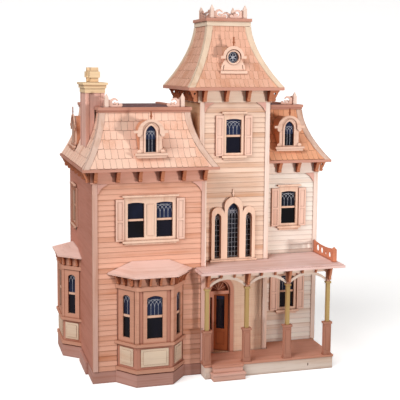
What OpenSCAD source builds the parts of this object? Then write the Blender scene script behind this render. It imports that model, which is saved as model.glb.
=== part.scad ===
/* [Plan] */
// Width of the main block
main_w = 334; // [320:1:350]
// Depth from the main block's front to the open back
house_d = 450; // [440:1:480]
// Width of the tower
tower_w = 220; // [210:1:230]
// Depth of the tower above the roofs
tower_d = 240; // [232:1:250]
// How far the tower stands behind the main front
tower_y = 59; // [50:1:65]
// Width of the wing on the right
wing_w = 188; // [180:1:200]
// How far the wing stands behind the main front
wing_y = 118; // [110:1:125]

/* [Heights] */
// Height of the foundation boards
base_h = 36; // [32:1:40]
// Underside of the second floor
second_z = 322; // [318:1:324]
// Top of the main walls, where the eaves rest
eave_z = 616; // [614:1:620]
// Height of the main mansard slopes
slope_h = 159; // [150:1:165]
// Top of the tower walls
tower_z = 841; // [836:1:850]
// Height of the tower's roof slopes
spire_h = 196; // [190:1:205]

/* [Boards] */
// Thickness of wall boards
wall_t = 4; // [3:0.5:5]
// Thickness of floor boards
floor_t = 6; // [5:0.5:7]
// Thickness of a clapboard at its butt
siding_t = 3; // [2:0.5:4]
// Height of one clapboard lap
lap = 15; // [12:1:18]
// Thickness of the eave boards
eave_t = 8; // [6:1:10]
// Overhang of the main eaves
eave_out = 32; // [28:1:34]
// Overhang of the tower eaves
tower_out = 36; // [32:1:38]
// Thickness of the cornice boards
cornice_t = 9; // [7:1:10]
// Width of the corner boards
corner_w = 14; // [10:1:16]
// Height of the frieze boards
frieze_h = 36; // [32:1:40]

/* [Windows] */
// Width of the glass of one sash window
glass_w = 48; // [44:1:50]
// Height of the glass of one sash window
glass_h = 102; // [96:1:106]
// Width of the post between the paired windows
mullion_w = 36; // [30:1:40]
// Width of one shutter
shutter_w = 24; // [20:1:26]
// Glass bottom of the first floor windows
sill_1 = 152; // [148:1:156]
// Glass bottom of the second floor windows
sill_2 = 422; // [418:1:426]
// Glass bottom of the tower's top window
sill_3 = 654; // [650:1:658]

/* [Bays] */
// Half width of the front bay where it meets the wall
bay_half = 98; // [92:1:100]
// Half width of the front bay's front facet
bay_face = 52; // [48:1:54]
// How far the front bay stands out
bay_out = 57; // [52:1:60]
// Half width of the side bay where it meets the wall
side_bay_half = 102; // [96:1:102]
// Half width of the side bay's outer facet
side_bay_face = 60; // [56:1:62]
// How far the side bay stands out
side_bay_out = 48; // [44:1:52]
// Centre of the side bay from the main front
side_bay_y = 331; // [328:1:331]

/* [Porch] */
// How far the deck stands in front of the main front
deck_y = 47; // [44:1:50]
// Underside of the porch roof
porch_z = 316; // [314:1:318]
// Side of a square porch post
post_w = 11; // [10:1:14]

/* [Doors] */
// Angle at which the front door stands ajar
ajar = 30; // [0:1:40]
// Height of every door leaf
leaf_h = 178; // [170:1:180]
// Thickness of every door leaf
leaf_t = 5; // [4:0.5:5]
// Radius of a door's pivot pins
pin_r = 1.25; // [1.2:0.05:1.3]

/* [Hidden] */

ply = [0.86, 0.62, 0.50];
trim = [0.92, 0.80, 0.72];
pale = [0.93, 0.90, 0.86];
grey = [0.55, 0.44, 0.46];
butter = [0.95, 0.82, 0.62];
brown = [0.62, 0.34, 0.20];
dark = [0.13, 0.16, 0.27];

deck_z = base_h + floor_t;
tower_x = main_w - wall_t;
tower_x1 = tower_x + tower_w;
wing_x1 = tower_x1 + wing_w;
tower_y1 = tower_y + tower_d;
tower_c = (tower_x + tower_x1) / 2 - 1;
wing_c = (tower_x1 + wing_x1) / 2;
main_c = main_w / 2;
roof_z = eave_z + eave_t;
roof_top = roof_z + slope_h;
spire_z = tower_z + cornice_t;
spire_top = spire_z + spire_h;
// The tower's roof hangs over a little more on its left
spire_mid = [tower_c - 4, tower_y + tower_d / 2];
spire_half = [tower_w / 2 + 2, tower_d / 2];
back_y = house_d + 8;
seam = 0.1;
trim_t = 5;
far = 2000;

// How far the slopes stand in from the wall faces at their tops, and out at their feet
side_in = 34;
front_in = 66;
foot_out = 27;
spire_foot = 33;
spire_top_half = 66;
slope_t = 5;
hip_t = 3;
hip_w = 17;

// Room left above the bay openings, and the ends of the bays' walls against the house
bay_head = 8;
bay_end = 12;

// Window casings: how far they reach above and below the glass, how far they and their
// ledges stand out, and the apron under the lower ledge
casing_top = 16;
casing_foot = 8;
casing_t = 4;
ledge_t = 5;
ledge_out = 12;
apron_out = 7;

// Every full-size sash window: [centre x, wall face y, glass bottom z]
window_c = tower_c - 3;
wing_window_c = wing_c - 4;
main_sashes = [for (s = [-1, 1]) [main_c + s * (glass_w + mullion_w) / 2, 0, sill_2]];
single_sashes = [
    [wing_window_c, wing_y, sill_2], [wing_window_c, wing_y, sill_1], [window_c, tower_y, sill_3]];
side_window_y = side_bay_y - 1;
side_sill = sill_2 - 5;
sash_rise = 3;
sash_rim = 3;
bay_sill = 140;
bay_glass_h = 124;
bay_glass = [30, 50, 30];
// Each bay: [half width at the wall, half width of its face, stand-out, roof overhang, roof rise]
bays = [[bay_half, bay_face, bay_out, 24, 36], [side_bay_half, side_bay_face, side_bay_out, 18, 22]];
function cant(b) = atan2(b[2], b[0] - b[1]);
// Width a canted facet gains at the wall and at its corner for each unit it moves out
function wall_grow(b) = 1 / sin(cant(b));
function corner_grow(b) = tan(cant(b) / 2);

// Lancet windows of the tower: [offset, glass width, glass top z]
lancet_z = 336;
lancets = [[-49, 20, 474], [0, 38, 504], [49, 20, 474]];
lancet_t = 12;
porch_top = porch_z + 10;
lancet_foot = porch_top + 6;
lancet_rim = 10;

main_dormer_y = -8;
wing_dormer_y = wing_y - 8;
side_dormer_x = -8;
side_dormer_y = 300;
dormer_w = 64;
spire_strip = 14;
dormer_z = 656;
dormer_glass = [31, 76];
round_c = window_c - 3;
round_z = 938;
round_y = tower_y + 1;
round_r = 17;

chimney = [2, 118];
chimney_size = [54, 96];
chimney_z = 832;
cap_h = 30;
pot_shift = [0, 33];

door_sill = deck_z + 1;
front_leaf_w = 45;
inner_leaf_w = 54;
front_door_x = 426;
front_open = [366, 431];
transom_z = door_sill + leaf_h + 2;
arch_z = 267;
side_light = [front_open[0] + 2.5, front_open[0] + 9.5];
entry_c = (front_open[0] + front_open[1]) / 2;
inner_door_y = 356;
jamb_d = 12;

post_xs = [328, 451, 580, 710];
post_y = -38;
stair_steps = 13;

// Frame: the origin is under the middle of the whole house, on the surface it stands on
origin_x = (wing_x1 + eave_out - side_bay_out - bays[1][3]) / 2;
origin_y = (back_y - bay_out - bays[0][3]) / 2;

// ---- Placing helpers ----

// Moves the drawing frame, which starts at the main block's front left corner, to the origin
module placed() translate([-origin_x, -origin_y, 0]) children();

// A board standing across the front, from its outline in x and z, filling y to y + t
module across(y, t) translate([0, y + t, 0]) rotate([90, 0, 0]) linear_extrude(t) children();

// A board standing from front to back, from its outline in y and z, filling x to x + t
module along(x, t) translate([x, 0, 0]) rotate([90, 0, 90]) linear_extrude(t) children();

module rect(x0, z0, x1, z1) translate([x0, z0]) square([x1 - x0, z1 - z0]);

module block(x0, y0, z0, x1, y1, z1) translate([x0, y0, z0]) cube([x1 - x0, y1 - y0, z1 - z0]);

// Upright outline with a curved top, its foot at z = 0 and centred on x = 0
function arch_line(w, h, rise, n = 12) =
    let (r = (w * w / 4 + rise * rise) / (2 * rise), a = asin(min(1, w / 2 / r)))
    [for (i = [0:n]) [r * sin(a - 2 * a * i / n), h - r + r * cos(a - 2 * a * i / n)]];
module arched(w, h, rise) polygon(concat([[-w / 2, 0], [w / 2, 0]], arch_line(w, h, rise)));

// Upright outline with a pointed top, made of two arcs
module lancet(w, h) {
    rise = w * 0.75;
    r = (w * w / 4 + rise * rise) / w;
    rect(-w / 2, 0, w / 2, h - rise);
    translate([0, h - rise])
        intersection() {
            translate([r - w / 2, 0]) circle(r, $fn = 64);
            translate([w / 2 - r, 0]) circle(r, $fn = 64);
            rect(-w / 2, 0, w / 2, h);
        }
}

// ---- Walls, floors and siding ----

module sash_hole(at) translate([at[0], at[2] - sash_rim])
    rect(-glass_w / 2 - sash_rim, 0, glass_w / 2 + sash_rim, glass_h + 2 * sash_rim);

module plan_blocks(d) {
    rect(-d, -d, main_w + d, house_d + d);
    rect(tower_x - d, tower_y - d, tower_x1 + d, house_d + d);
    rect(tower_x1 - 2 * wall_t, wing_y - d, wing_x1 + d, house_d + d);
}

// A bay's outline in plan, moved out by d; the wall is y = 0 and the room is at y > 0
function bay_line(b, d) = [
    [-b[0] - d * wall_grow(b), 0], [-b[1] - d * corner_grow(b), -b[2] - d],
    [b[1] + d * corner_grow(b), -b[2] - d], [b[0] + d * wall_grow(b), 0]];
module bay_ring(b, z0, z1, d0, d1) translate([0, 0, z0])
    linear_extrude(z1 - z0)
        difference() {
            polygon(bay_line(b, d1));
            polygon(bay_line(b, d0));
            rect(-b[0] + bay_end, -1, b[0] - bay_end, 1);
        }
front_bay_c = main_c + 1;
module at_front() translate([front_bay_c, 0, 0]) children();
module at_side() translate([0, side_bay_y, 0]) rotate([0, 0, -90]) children();
// Puts a drawing on the outer face of facet i of bay b, with y pointing into the room
module on_facet(b, i) {
    x = (b[0] + b[1]) / 2 * (i - 1);
    translate([x, i == 1 ? -b[2] : -b[2] / 2, 0]) rotate([0, 0, cant(b) * (i - 1)]) children();
}
// Cuts the front bay's trim off at the clapboards
module off_siding() difference() {
    children();
    block(-far / 8, -siding_t, 0, far / 8, 1, far);
}

module foundation() color(trim) placed() {
    difference() {
        linear_extrude(base_h) union() {
            plan_blocks(1);
            translate([front_bay_c, 0]) polygon(bay_line(bays[0], 4));
            translate([0, side_bay_y]) rotate(-90) polygon(bay_line(bays[1], 4));
        }
        translate([0, 0, -1]) linear_extrude(base_h + 2) union() {
            plan_blocks(-10);
            translate([front_bay_c, 12]) polygon(bay_line(bays[0], -8));
            translate([12, side_bay_y]) rotate(-90) polygon(bay_line(bays[1], -8));
        }
    }
    // Plinth under the chimney, proud of the side wall
    block(-9, 82, 0, -0.5, 206, base_h);
}

module floor_boards(z, well, with_bays) color(ply) placed() translate([0, 0, z])
    linear_extrude(floor_t)
        difference() {
            union() {
                rect(wall_t, wall_t, tower_x, house_d);
                rect(main_w, tower_y + wall_t, tower_x1 - wall_t, house_d);
                rect(tower_x1, wing_y + wall_t, wing_x1 - wall_t, house_d);
                if (with_bays) {
                    translate([front_bay_c, 0]) bay_floor(bays[0]);
                    translate([0, side_bay_y]) rotate(-90) bay_floor(bays[1]);
                }
            }
            stair_well(well);
        }
module bay_floor(b) intersection() {
    polygon([for (p = bay_line(b, -wall_t - 0.1)) p + [0, p[1] == 0 ? wall_t : 0]]);
    rect(-b[0] + bay_end + 1, -b[2], b[0] - bay_end - 1, wall_t);
}
module stair_well(level) {
    if (level == 1) rect(tower_x1 - 64, 130, tower_x1 - 5, 322);
    if (level == 2) rect(main_w + 1, 130, main_w + 60, 322);
}
module ground_floor() floor_boards(base_h, 0, true);
module second_floor() floor_boards(second_z, 1, false);
module attic_floor() floor_boards(eave_z, 2, false);
module tower_ceiling() color(ply) placed()
    block(tower_x, tower_y, tower_z, tower_x1, tower_y1, tower_z + cornice_t);

module main_front_wall() color(ply) placed() across(0, wall_t) difference() {
    rect(0, base_h, main_w, eave_z);
    rect(front_bay_c - bay_half + bay_end, base_h - 1,
        front_bay_c + bay_half - bay_end, second_z - bay_head);
    for (s = main_sashes) sash_hole(s);
}
module left_side_wall() color(ply) placed() along(0, wall_t) difference() {
    rect(wall_t, base_h, house_d, eave_z);
    rect(side_bay_y - side_bay_half + bay_end, base_h - 1,
        side_bay_y + side_bay_half - bay_end, second_z - bay_head);
    translate([side_window_y, 0]) sash_hole([0, 0, side_sill]);
}
// Door openings in the partitions
module inner_opening(z, y) translate([y, z])
    rect(-inner_leaf_w / 2 - 4, 0, inner_leaf_w / 2 + 4, leaf_h + 6);
module left_partition() color(ply) placed() along(tower_x, wall_t) difference() {
    union() {
        rect(wall_t, base_h, house_d, eave_z);
        rect(tower_y, base_h, tower_y1, tower_z);
        rect(tower_y, base_h, house_d, roof_top);
    }
    inner_opening(deck_z, inner_door_y);
    inner_opening(second_z + floor_t, inner_door_y);
}
module right_partition() color(ply) placed() along(tower_x1 - wall_t, wall_t) difference() {
    union() {
        rect(tower_y, base_h, tower_y1, tower_z);
        rect(tower_y, base_h, house_d, roof_top);
    }
    inner_opening(deck_z, inner_door_y);
    inner_opening(second_z + floor_t, inner_door_y);
    translate([inner_door_y, eave_z + floor_t]) rect(-28, 0, 28, 140);
}
module entry_shape(grow) {
    rect(front_open[0] - grow, deck_z, front_open[1] + grow, transom_z + 10);
    translate([entry_c, transom_z])
        arched(front_open[1] - front_open[0] + 2 * grow, arch_z - transom_z + grow, 32 + grow);
}
module tower_front_wall() color(ply) placed() across(tower_y, wall_t) difference() {
    rect(main_w, base_h, tower_x1 - wall_t, tower_z);
    entry_shape(0);
    for (l = lancets) translate([window_c + l[0], lancet_z]) lancet(l[1], l[2] - lancet_z);
    sash_hole(single_sashes[2]);
}
module tower_back_wall() color(ply) placed() across(tower_y1 - wall_t, wall_t)
    rect(main_w, roof_top, tower_x1 - wall_t, tower_z);
module wing_front_wall() color(pale) placed() across(wing_y, wall_t) difference() {
    rect(tower_x1, base_h, wing_x1, eave_z);
    sash_hole(single_sashes[0]);
    sash_hole(single_sashes[1]);
}
module right_side_wall() color(pale) placed() along(wing_x1 - wall_t, wall_t)
    rect(wing_y + wall_t, base_h, house_d, eave_z);

// Clapboards: a saw-toothed sheet from x0 to x1, with its back on the wall face y
module clapboards(x0, x1, y, z0, z1) {
    rows = round((z1 - z0) / lap);
    step = (z1 - z0) / rows;
    teeth = [for (i = [0:rows - 1]) each [[-siding_t, z0 + i * step], [-1.2, z0 + (i + 1) * step]]];
    translate([0, y, 0]) along(x0, x1 - x0) polygon(concat([[0, z0]], teeth, [[0, z1]]));
}
module casing_hole(at, wide) translate([at[0], at[2]])
    rect(-wide / 2, -casing_foot, wide / 2, glass_h + casing_top);
pair_w = 2 * glass_w + mullion_w + 22;
single_w = glass_w + 18;

module main_siding() color(ply) placed() difference() {
    clapboards(corner_w, main_w - corner_w, 0, base_h, eave_z - frieze_h);
    across(-far / 8, far / 4) {
        rect(front_bay_c - bay_half - 0.5, 0, front_bay_c + bay_half + 0.5, second_z - 2);
        casing_hole([main_c, 0, sill_2], pair_w);
    }
}
module tower_siding() color(ply) placed() difference() {
    clapboards(tower_x + corner_w, tower_x1 - corner_w, tower_y, porch_top + 0.2, tower_z - frieze_h);
    across(-far / 8, far / 2) {
        entry_shape(11);
        lancet_frame_shape();
        casing_hole(single_sashes[2], single_w);
    }
    // The main block's corner and roof cover the tower's lower left edge
    block(0, 0, 0, tower_x + corner_w - 0.1, tower_y + 1, eave_z);
}
module wing_siding() color(pale) placed() difference() {
    clapboards(tower_x1, wing_x1 - corner_w, wing_y, base_h, eave_z - frieze_h);
    across(0, far / 4) {
        casing_hole(single_sashes[0], single_w);
        casing_hole(single_sashes[1], single_w);
    }
}

module corner_boards() color(trim) placed() {
    across(-trim_t, trim_t) {
        rect(0, base_h, corner_w, eave_z - frieze_h);
        rect(main_w - corner_w, base_h, main_w, eave_z - frieze_h);
    }
    across(tower_y - trim_t, trim_t) {
        rect(main_w, base_h + 6, main_w + 10, eave_z - 1);
        rect(tower_x, roof_z, tower_x + corner_w, tower_z - frieze_h);
        rect(tower_x1 - corner_w, base_h + 6, tower_x1, tower_z - frieze_h);
    }
    across(wing_y - trim_t, trim_t) rect(wing_x1 - corner_w, base_h + 6, wing_x1, eave_z - frieze_h);
}

// ---- Friezes, brackets and eaves ----

module friezes() color(trim) placed() {
    across(-trim_t, trim_t) rect(-trim_t, eave_z - frieze_h, main_w, eave_z);
    along(-trim_t, trim_t) rect(0, eave_z - frieze_h, house_d, eave_z);
    across(tower_y - trim_t, trim_t)
        rect(tower_x - trim_t, tower_z - frieze_h, tower_x1 + trim_t, tower_z);
    along(tower_x - trim_t, trim_t) rect(tower_y, tower_z - frieze_h, tower_y1, tower_z);
    along(tower_x1, trim_t) rect(tower_y, tower_z - frieze_h, tower_y1, tower_z);
    across(tower_y1, trim_t)
        rect(tower_x - trim_t, tower_z - frieze_h, tower_x1 + trim_t, tower_z);
    across(wing_y - trim_t, trim_t)
        rect(tower_x1 + 0.1, eave_z - frieze_h, wing_x1 + trim_t, eave_z);
    along(wing_x1, trim_t) rect(wing_y, eave_z - frieze_h, house_d, eave_z);
}

// A gusset under a frieze, hollowed along its long side; it fills a left corner, or a right one if flip
gusset_w = 28;
module gusset(x, y, z, flip = false) translate([x, 0, 0]) mirror([flip ? 1 : 0, 0, 0])
    across(y - siding_t - 3, 3) difference() {
        rect(0, z - gusset_w, gusset_w, z);
        translate([45, z - 45]) circle(46, $fn = 96);
    }
module spandrels() color(trim) placed() {
    gusset(corner_w, 0, eave_z - frieze_h);
    gusset(main_w - corner_w, 0, eave_z - frieze_h, true);
    gusset(tower_x + corner_w, tower_y, tower_z - frieze_h);
    gusset(tower_x1 - corner_w, tower_y, tower_z - frieze_h, true);
    gusset(wing_x1 - corner_w, wing_y, eave_z - frieze_h, true);
}

// Scroll bracket: d out, h down and t thick, its back on y = 0 and its top on z = 0
module bracket(d, h, t) along(-t / 2, t) difference() {
    intersection() {
        union() {
            rect(-d, -5, 0, 0);
            rect(-5, -h, 0, 0);
            translate([-d * 0.42, -5]) circle(d * 0.4, $fn = 32);
            polygon([[-d + 2, -4], [-d * 0.7, -h * 0.5], [-d * 0.4, -h + 4], [0, -h], [0, -4]]);
            translate([-d * 0.36, -h + d * 0.2]) circle(d * 0.2, $fn = 32);
        }
        rect(-d, -h, 0, 0);
    }
    translate([-d * 0.42, -d * 0.4]) circle(d * 0.12, $fn = 24);
}
module row(at, step, count) for (i = [0:count - 1]) translate(at + i * step) children();
bracket_d = 24;
bracket_h = 32;
bracket_t = 10;
module eave_brackets() color(trim) placed() {
    pitch = (main_w - corner_w) / 5;
    row([corner_w / 2, -trim_t, eave_z], [pitch, 0, 0], 6) bracket(bracket_d, bracket_h, bracket_t);
    translate([-trim_t, corner_w / 2, eave_z]) row([0, 0, 0], [0, pitch + 8, 0], 7)
        rotate([0, 0, -90]) bracket(bracket_d, bracket_h, bracket_t);
    row([tower_x + 11, tower_y - trim_t, tower_z], [(tower_w - 16) / 3, 0, 0], 4)
        bracket(bracket_d + 2, bracket_h + 2, bracket_t);
    translate([tower_x - trim_t, tower_y + 4, tower_z]) row([0, 0, 0], [0, (tower_d - 8) / 4, 0], 5)
        rotate([0, 0, -90]) bracket(bracket_d + 2, bracket_h + 2, bracket_t);
    translate([tower_x1 + trim_t, tower_y + 4, tower_z]) row([0, 0, 0], [0, (tower_d - 8) / 4, 0], 5)
        rotate([0, 0, 90]) bracket(bracket_d + 2, bracket_h + 2, bracket_t);
    row([wing_x1 - 10, wing_y - trim_t, eave_z], [-62, 0, 0], 3) bracket(bracket_d, bracket_h, bracket_t);
    translate([wing_x1 + trim_t, wing_y + 5, eave_z]) row([0, 0, 0], [0, 80, 0], 5)
        rotate([0, 0, 90]) bracket(bracket_d, bracket_h, bracket_t);
}

module tower_notch(z0, z1) block(tower_x, tower_y - trim_t, z0, far, far / 2, z1);
module eaves() color(trim) placed() {
    translate([0, 0, eave_z]) linear_extrude(eave_t) {
        difference() {
            rect(-eave_out, -eave_out, main_w + eave_out, back_y);
            rect(wall_t, wall_t, far, far);
            rect(tower_x + 0.1, tower_y - trim_t - 0.2, far, far);
            rect(main_w, wall_t, main_w + 1, far);
        }
        difference() {
            rect(main_w + 0.1, -eave_out + 0.1, main_w + eave_out, tower_y - trim_t - 0.2);
            rect(0, -far, main_w + 1, wall_t + 0.1);
        }
        difference() {
            rect(tower_x1 + 0.1, wing_y - eave_out, wing_x1 + eave_out, back_y);
            rect(tower_x1, wing_y + wall_t, wing_x1 - wall_t, far);
        }
    }
    translate([0, 0, tower_z]) linear_extrude(cornice_t) difference() {
        translate(spire_mid) square(2 * (spire_half + [tower_out, tower_out]), center = true);
        rect(tower_x - 0.1, tower_y - 0.1, tower_x1 + 0.1, tower_y1 + 0.1);
    }
}

// ---- Curved roof slopes ----

// Points down a slope, from its top to its foot, as [distance in from the wall, height]
function slope_line(z0, z1, top_in, foot, n = 14) =
    [for (i = [0:n]) [top_in - (top_in + foot) * pow(i / n, 1.8), z1 - (z1 - z0) * i / n]];
function thick(p, a, b) =
    concat([for (q = p) q + [a, 0]], [for (i = [len(p) - 1:-1:0]) p[i] + [b, 0]]);
function reach(a, b, k) = a + (b - a) * k;

// A slope that leans back from the line y = wall: its foot runs from foot_x[0] to foot_x[1],
// its top from top_x[0] to top_x[1], and it fills depths a to b behind its outer surface
module slope(foot_x, top_x, wall, z, top_in, foot, a, b, part = "board") intersection() {
    translate([0, wall, 0]) along(foot_x[0] - 40, foot_x[1] - foot_x[0] + 80)
        polygon(thick(slope_line(z[0], z[1], top_in, foot), a, b));
    translate([0, 0, z[0]]) linear_extrude(z[1] - z[0]) {
        low = [for (x = foot_x) [x, wall - foot]];
        high = [for (x = top_x) [x, wall + top_in]];
        ends = [for (i = [0, 1]) [reach(low[i], high[i], -0.2), reach(low[i], high[i], 1.3)]];
        gap = [seam, 0];
        if (part == "board")
            polygon([ends[0][0] + gap, ends[0][1] + gap, ends[1][1] - gap, ends[1][0] - gap]);
        if (part == "left hip")
            polygon([ends[0][0] + gap, ends[0][1] + gap, ends[0][1] + [hip_w, 0], ends[0][0] + [hip_w, 0]]);
        if (part == "right hip")
            polygon([ends[1][0] - gap, ends[1][1] - gap, ends[1][1] - [hip_w, 0], ends[1][0] - [hip_w, 0]]);
    }
}
module facing_left(x) translate([x, 0, 0]) rotate([0, 0, -90]) children();
module facing_right(x) translate([x, 0, 0]) rotate([0, 0, 90]) children();

main_zs = [roof_z, roof_top];
module main_front_slope(a, b, part = "board")
    slope([-foot_out, main_w + foot_out], [side_in, main_w - side_in], 0,
        main_zs, front_in, foot_out, a, b, part);
module main_left_slope(a, b, part = "board") facing_left(0)
    slope([-back_y, foot_out], [-back_y, -front_in], 0, main_zs, side_in, foot_out, a, b, part);
module main_right_slope(a, b, part = "board") difference() {
    facing_right(main_w)
        slope([-foot_out, back_y], [front_in, back_y], 0, main_zs, side_in, foot_out, a, b, part);
    tower_notch(0, far);
}
module wing_front_slope(a, b, part = "board")
    slope([tower_x1, wing_x1 + foot_out], [tower_x1, wing_x1 - side_in], wing_y,
        main_zs, front_in, foot_out, a, b, part);
module wing_right_slope(a, b, part = "board") facing_right(wing_x1)
    slope([wing_y - foot_out, back_y], [wing_y + front_in, back_y], 0,
        main_zs, side_in, foot_out, a, b, part);
module spire_slope(i, a, b, part = "board") {
    wide = spire_half[i % 2];
    deep = spire_half[(i + 1) % 2];
    translate([spire_mid[0], spire_mid[1], 0]) rotate([0, 0, 90 * i])
        slope([-wide - spire_foot, wide + spire_foot], [-spire_top_half, spire_top_half],
            -deep, [spire_z, spire_top], deep - spire_top_half, spire_foot, a, b, part);
}

module main_roof() color(ply) placed() {
    main_front_slope(0, slope_t);
    main_left_slope(0, slope_t);
    main_right_slope(0, slope_t);
}
module wing_roof() color(pale) placed() {
    wing_front_slope(0, slope_t);
    wing_right_slope(0, slope_t);
}
module tower_roof() color(ply) placed() for (i = [0:3]) spire_slope(i, 0, slope_t);

module hip_boards() color(trim) placed() difference() {
    union() {
        for (e = ["left hip", "right hip"]) main_front_slope(-hip_t, 0, e);
        main_left_slope(-hip_t, 0, "right hip");
        main_right_slope(-hip_t, 0, "left hip");
        wing_front_slope(-hip_t, 0, "right hip");
        wing_right_slope(-hip_t, 0, "left hip");
        for (i = [0:3]) for (e = ["left hip", "right hip"]) spire_slope(i, -hip_t, 0, e);
    }
    // Room for the strips under the cornices
    block(-far, -far, roof_top - 7, far, far, roof_top + 1);
    block(-far, -far, spire_top - spire_strip - 1, far, far, spire_top + 1);
}

// How far a cornice stands out from its flat roof
cornice_out = 6.5;
main_top = [side_in, front_in, main_w - side_in, back_y];
wing_top = [tower_x1, wing_y + front_in, wing_x1 - side_in, back_y];
spire_plan = [for (s = [-1, 1]) for (c = spire_mid) c + s * spire_top_half];
module flat_roofs() color(grey) placed() {
    block(main_top[0] + 8.1, main_top[1] + 8.1, roof_top, main_top[2] - 8.1, back_y, roof_top + 4);
    block(wing_top[0] + 0.2, wing_top[1] + 8.1, roof_top, wing_top[2] - 8.1, back_y, roof_top + 4);
    block(main_w, tower_y1, roof_top - 6, tower_x1 - wall_t, back_y, roof_top);
    block(spire_plan[0] + 8.1, spire_plan[1] + 8.1, spire_top, spire_plan[2] - 8.1, spire_plan[3] - 8.1,
        spire_top + 4);
}
module cornice(t, open_left, back, z, strip) {
    o = cornice_out;
    l = open_left ? 0 : o;
    b = back ? o : 0;
    translate([0, 0, z]) linear_extrude(cornice_t) difference() {
        rect(t[0] - l, t[1] - o, t[2] + o, t[3] + b);
        rect(t[0] + (open_left ? -1 : 8), t[1] + 8, t[2] - 8, t[3] - (back ? 8 : -1));
    }
    translate([0, 0, z - strip]) linear_extrude(strip) difference() {
        rect(t[0] - (open_left ? 0 : 3.5), t[1] - 3.5, t[2] + 3.5, t[3] + (back ? 3.5 : 0));
        rect(t[0] - 1, t[1] - 1, t[2] + 1, t[3] + 1);
    }
}
module roof_cornices() color(trim) placed() {
    cornice(main_top, false, false, roof_top, 6);
    cornice(wing_top + [0.1, 0, 0, 0], true, false, roof_top, 6);
    cornice(spire_plan, false, true, spire_top, spire_strip);
}

// ---- Cresting ----

module crest_post(x, y, z) translate([x, y, z]) {
    block(-5.5, -5.5, 0, 5.5, 5.5, 28);
    translate([0, 0, 28]) rotate([0, 0, 45]) cylinder(h = 12, r1 = 7.7, r2 = 1, $fn = 4);
}
// A crest scroll that starts against a post at x = 0 and runs out along +x
module crest_scroll() translate([0, 1.5, 0]) across(-1.5, 3) {
    difference() {
        union() {
            rect(0, 0, 38, 6);
            rect(0, 0, 8, 22);
            translate([17, 14]) circle(13, $fn = 48);
            translate([36, 6]) circle(5.5, $fn = 32);
        }
        translate([18.5, 14]) circle(7, $fn = 48);
        rect(22, 14, 34, 18);
        rect(-1, -20, 60, 0);
    }
    translate([18.5, 11.5]) circle(3.4, $fn = 24);
    rect(19, 9, 26, 13);
}
main_crest_z = roof_top + cornice_t;
spire_crest_z = spire_top + cornice_t;
main_posts = [[main_top[0] + 20, main_top[1] + 3], [main_top[2] - 20, main_top[1] + 3]];
wing_posts = [[wing_top[2] - 20, wing_top[1] + 3]];
spire_posts = [
    for (y = [spire_plan[1] + 4, spire_plan[3] - 15]) for (s = [-1, 1]) [spire_mid[0] + s * 52, y]];
module crest_posts() color(pale) placed() {
    for (p = concat(main_posts, wing_posts)) crest_post(p[0], p[1], main_crest_z);
    for (p = spire_posts) crest_post(p[0], p[1], spire_crest_z);
}
module crest_scrolls() color(trim) placed() {
    z = main_crest_z;
    translate([main_posts[0][0] + 5.6, main_posts[0][1], z]) crest_scroll();
    translate([main_posts[1][0] - 5.6, main_posts[1][1], z]) mirror([1, 0, 0]) crest_scroll();
    translate([wing_posts[0][0] - 5.6, wing_posts[0][1], z]) mirror([1, 0, 0]) crest_scroll();
    for (p = concat(main_posts, wing_posts))
        translate([p[0], p[1] + 5.6, z]) rotate([0, 0, 90]) crest_scroll();
    for (i = [0:3]) {
        p = spire_posts[i];
        translate([p[0] + (i % 2 == 0 ? 5.6 : -5.6), p[1], spire_crest_z])
            mirror([i % 2, 0, 0]) crest_scroll();
        translate([p[0], p[1] + (i < 2 ? 5.6 : -5.6), spire_crest_z])
            rotate([0, 0, i < 2 ? 90 : -90]) mirror([0, i < 2 ? 0 : 1, 0]) crest_scroll();
    }
}

// ---- Chimney ----

// The space under the outer surface of the left slope
module left_slope_core() facing_left(0) along(-back_y, back_y + 100)
    polygon(thick(slope_line(roof_z, roof_top + 0.01, side_in, foot_out), 0, 300));
module chimney_shaft() color(ply) placed() difference() {
    union() {
        block(chimney[0], chimney[1], roof_z, chimney[0] + chimney_size[0], chimney[1] + chimney_size[1],
            chimney_z);
        for (x = [0, chimney_size[0] - 8]) for (y = [0, chimney_size[1] - 8])
            translate([chimney[0] + x - 1.5, chimney[1] + y - 1.5, roof_z])
                cube([11, 11, chimney_z - roof_z]);
    }
    left_slope_core();
    block(main_top[0] - cornice_out - 0.2, main_top[1] - 20, roof_z, 200, far, roof_top + cornice_t);
}
module chimney_cap() color(butter) placed() {
    c = [chimney[0], chimney[1], chimney[0] + chimney_size[0], chimney[1] + chimney_size[1]];
    for (k = [[3, 0, 13], [6, 13, 23], [10, 23, cap_h]])
        block(c[0] - k[0], c[1] - k[0], chimney_z + k[1], c[2] + k[0], c[3] + k[0], chimney_z + k[2]);
}
module chimney_pots() color(butter) placed()
    for (s = [-1, 1])
        translate(concat(chimney + chimney_size / 2 + s * pot_shift, chimney_z + cap_h)) difference() {
            union() {
                block(-11.5, -11.5, 0, 11.5, 11.5, 44);
                block(-15.5, -15.5, 14, 15.5, 15.5, 32);
            }
            block(-8, -8, 6, 8, 8, 50);
        }

// ---- Dormers ----

// The space behind each roof's outer surface
module front_core(x0, x1, wall) translate([0, wall, 0]) along(x0, x1 - x0)
    polygon(thick(slope_line(roof_z, roof_top, front_in, foot_out), -0.02, 300));
module side_core() facing_left(0) along(-house_d - 50, house_d + 50 - front_in - 6)
    polygon(thick(slope_line(roof_z, roof_top, side_in, foot_out), -0.02, 120));
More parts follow.
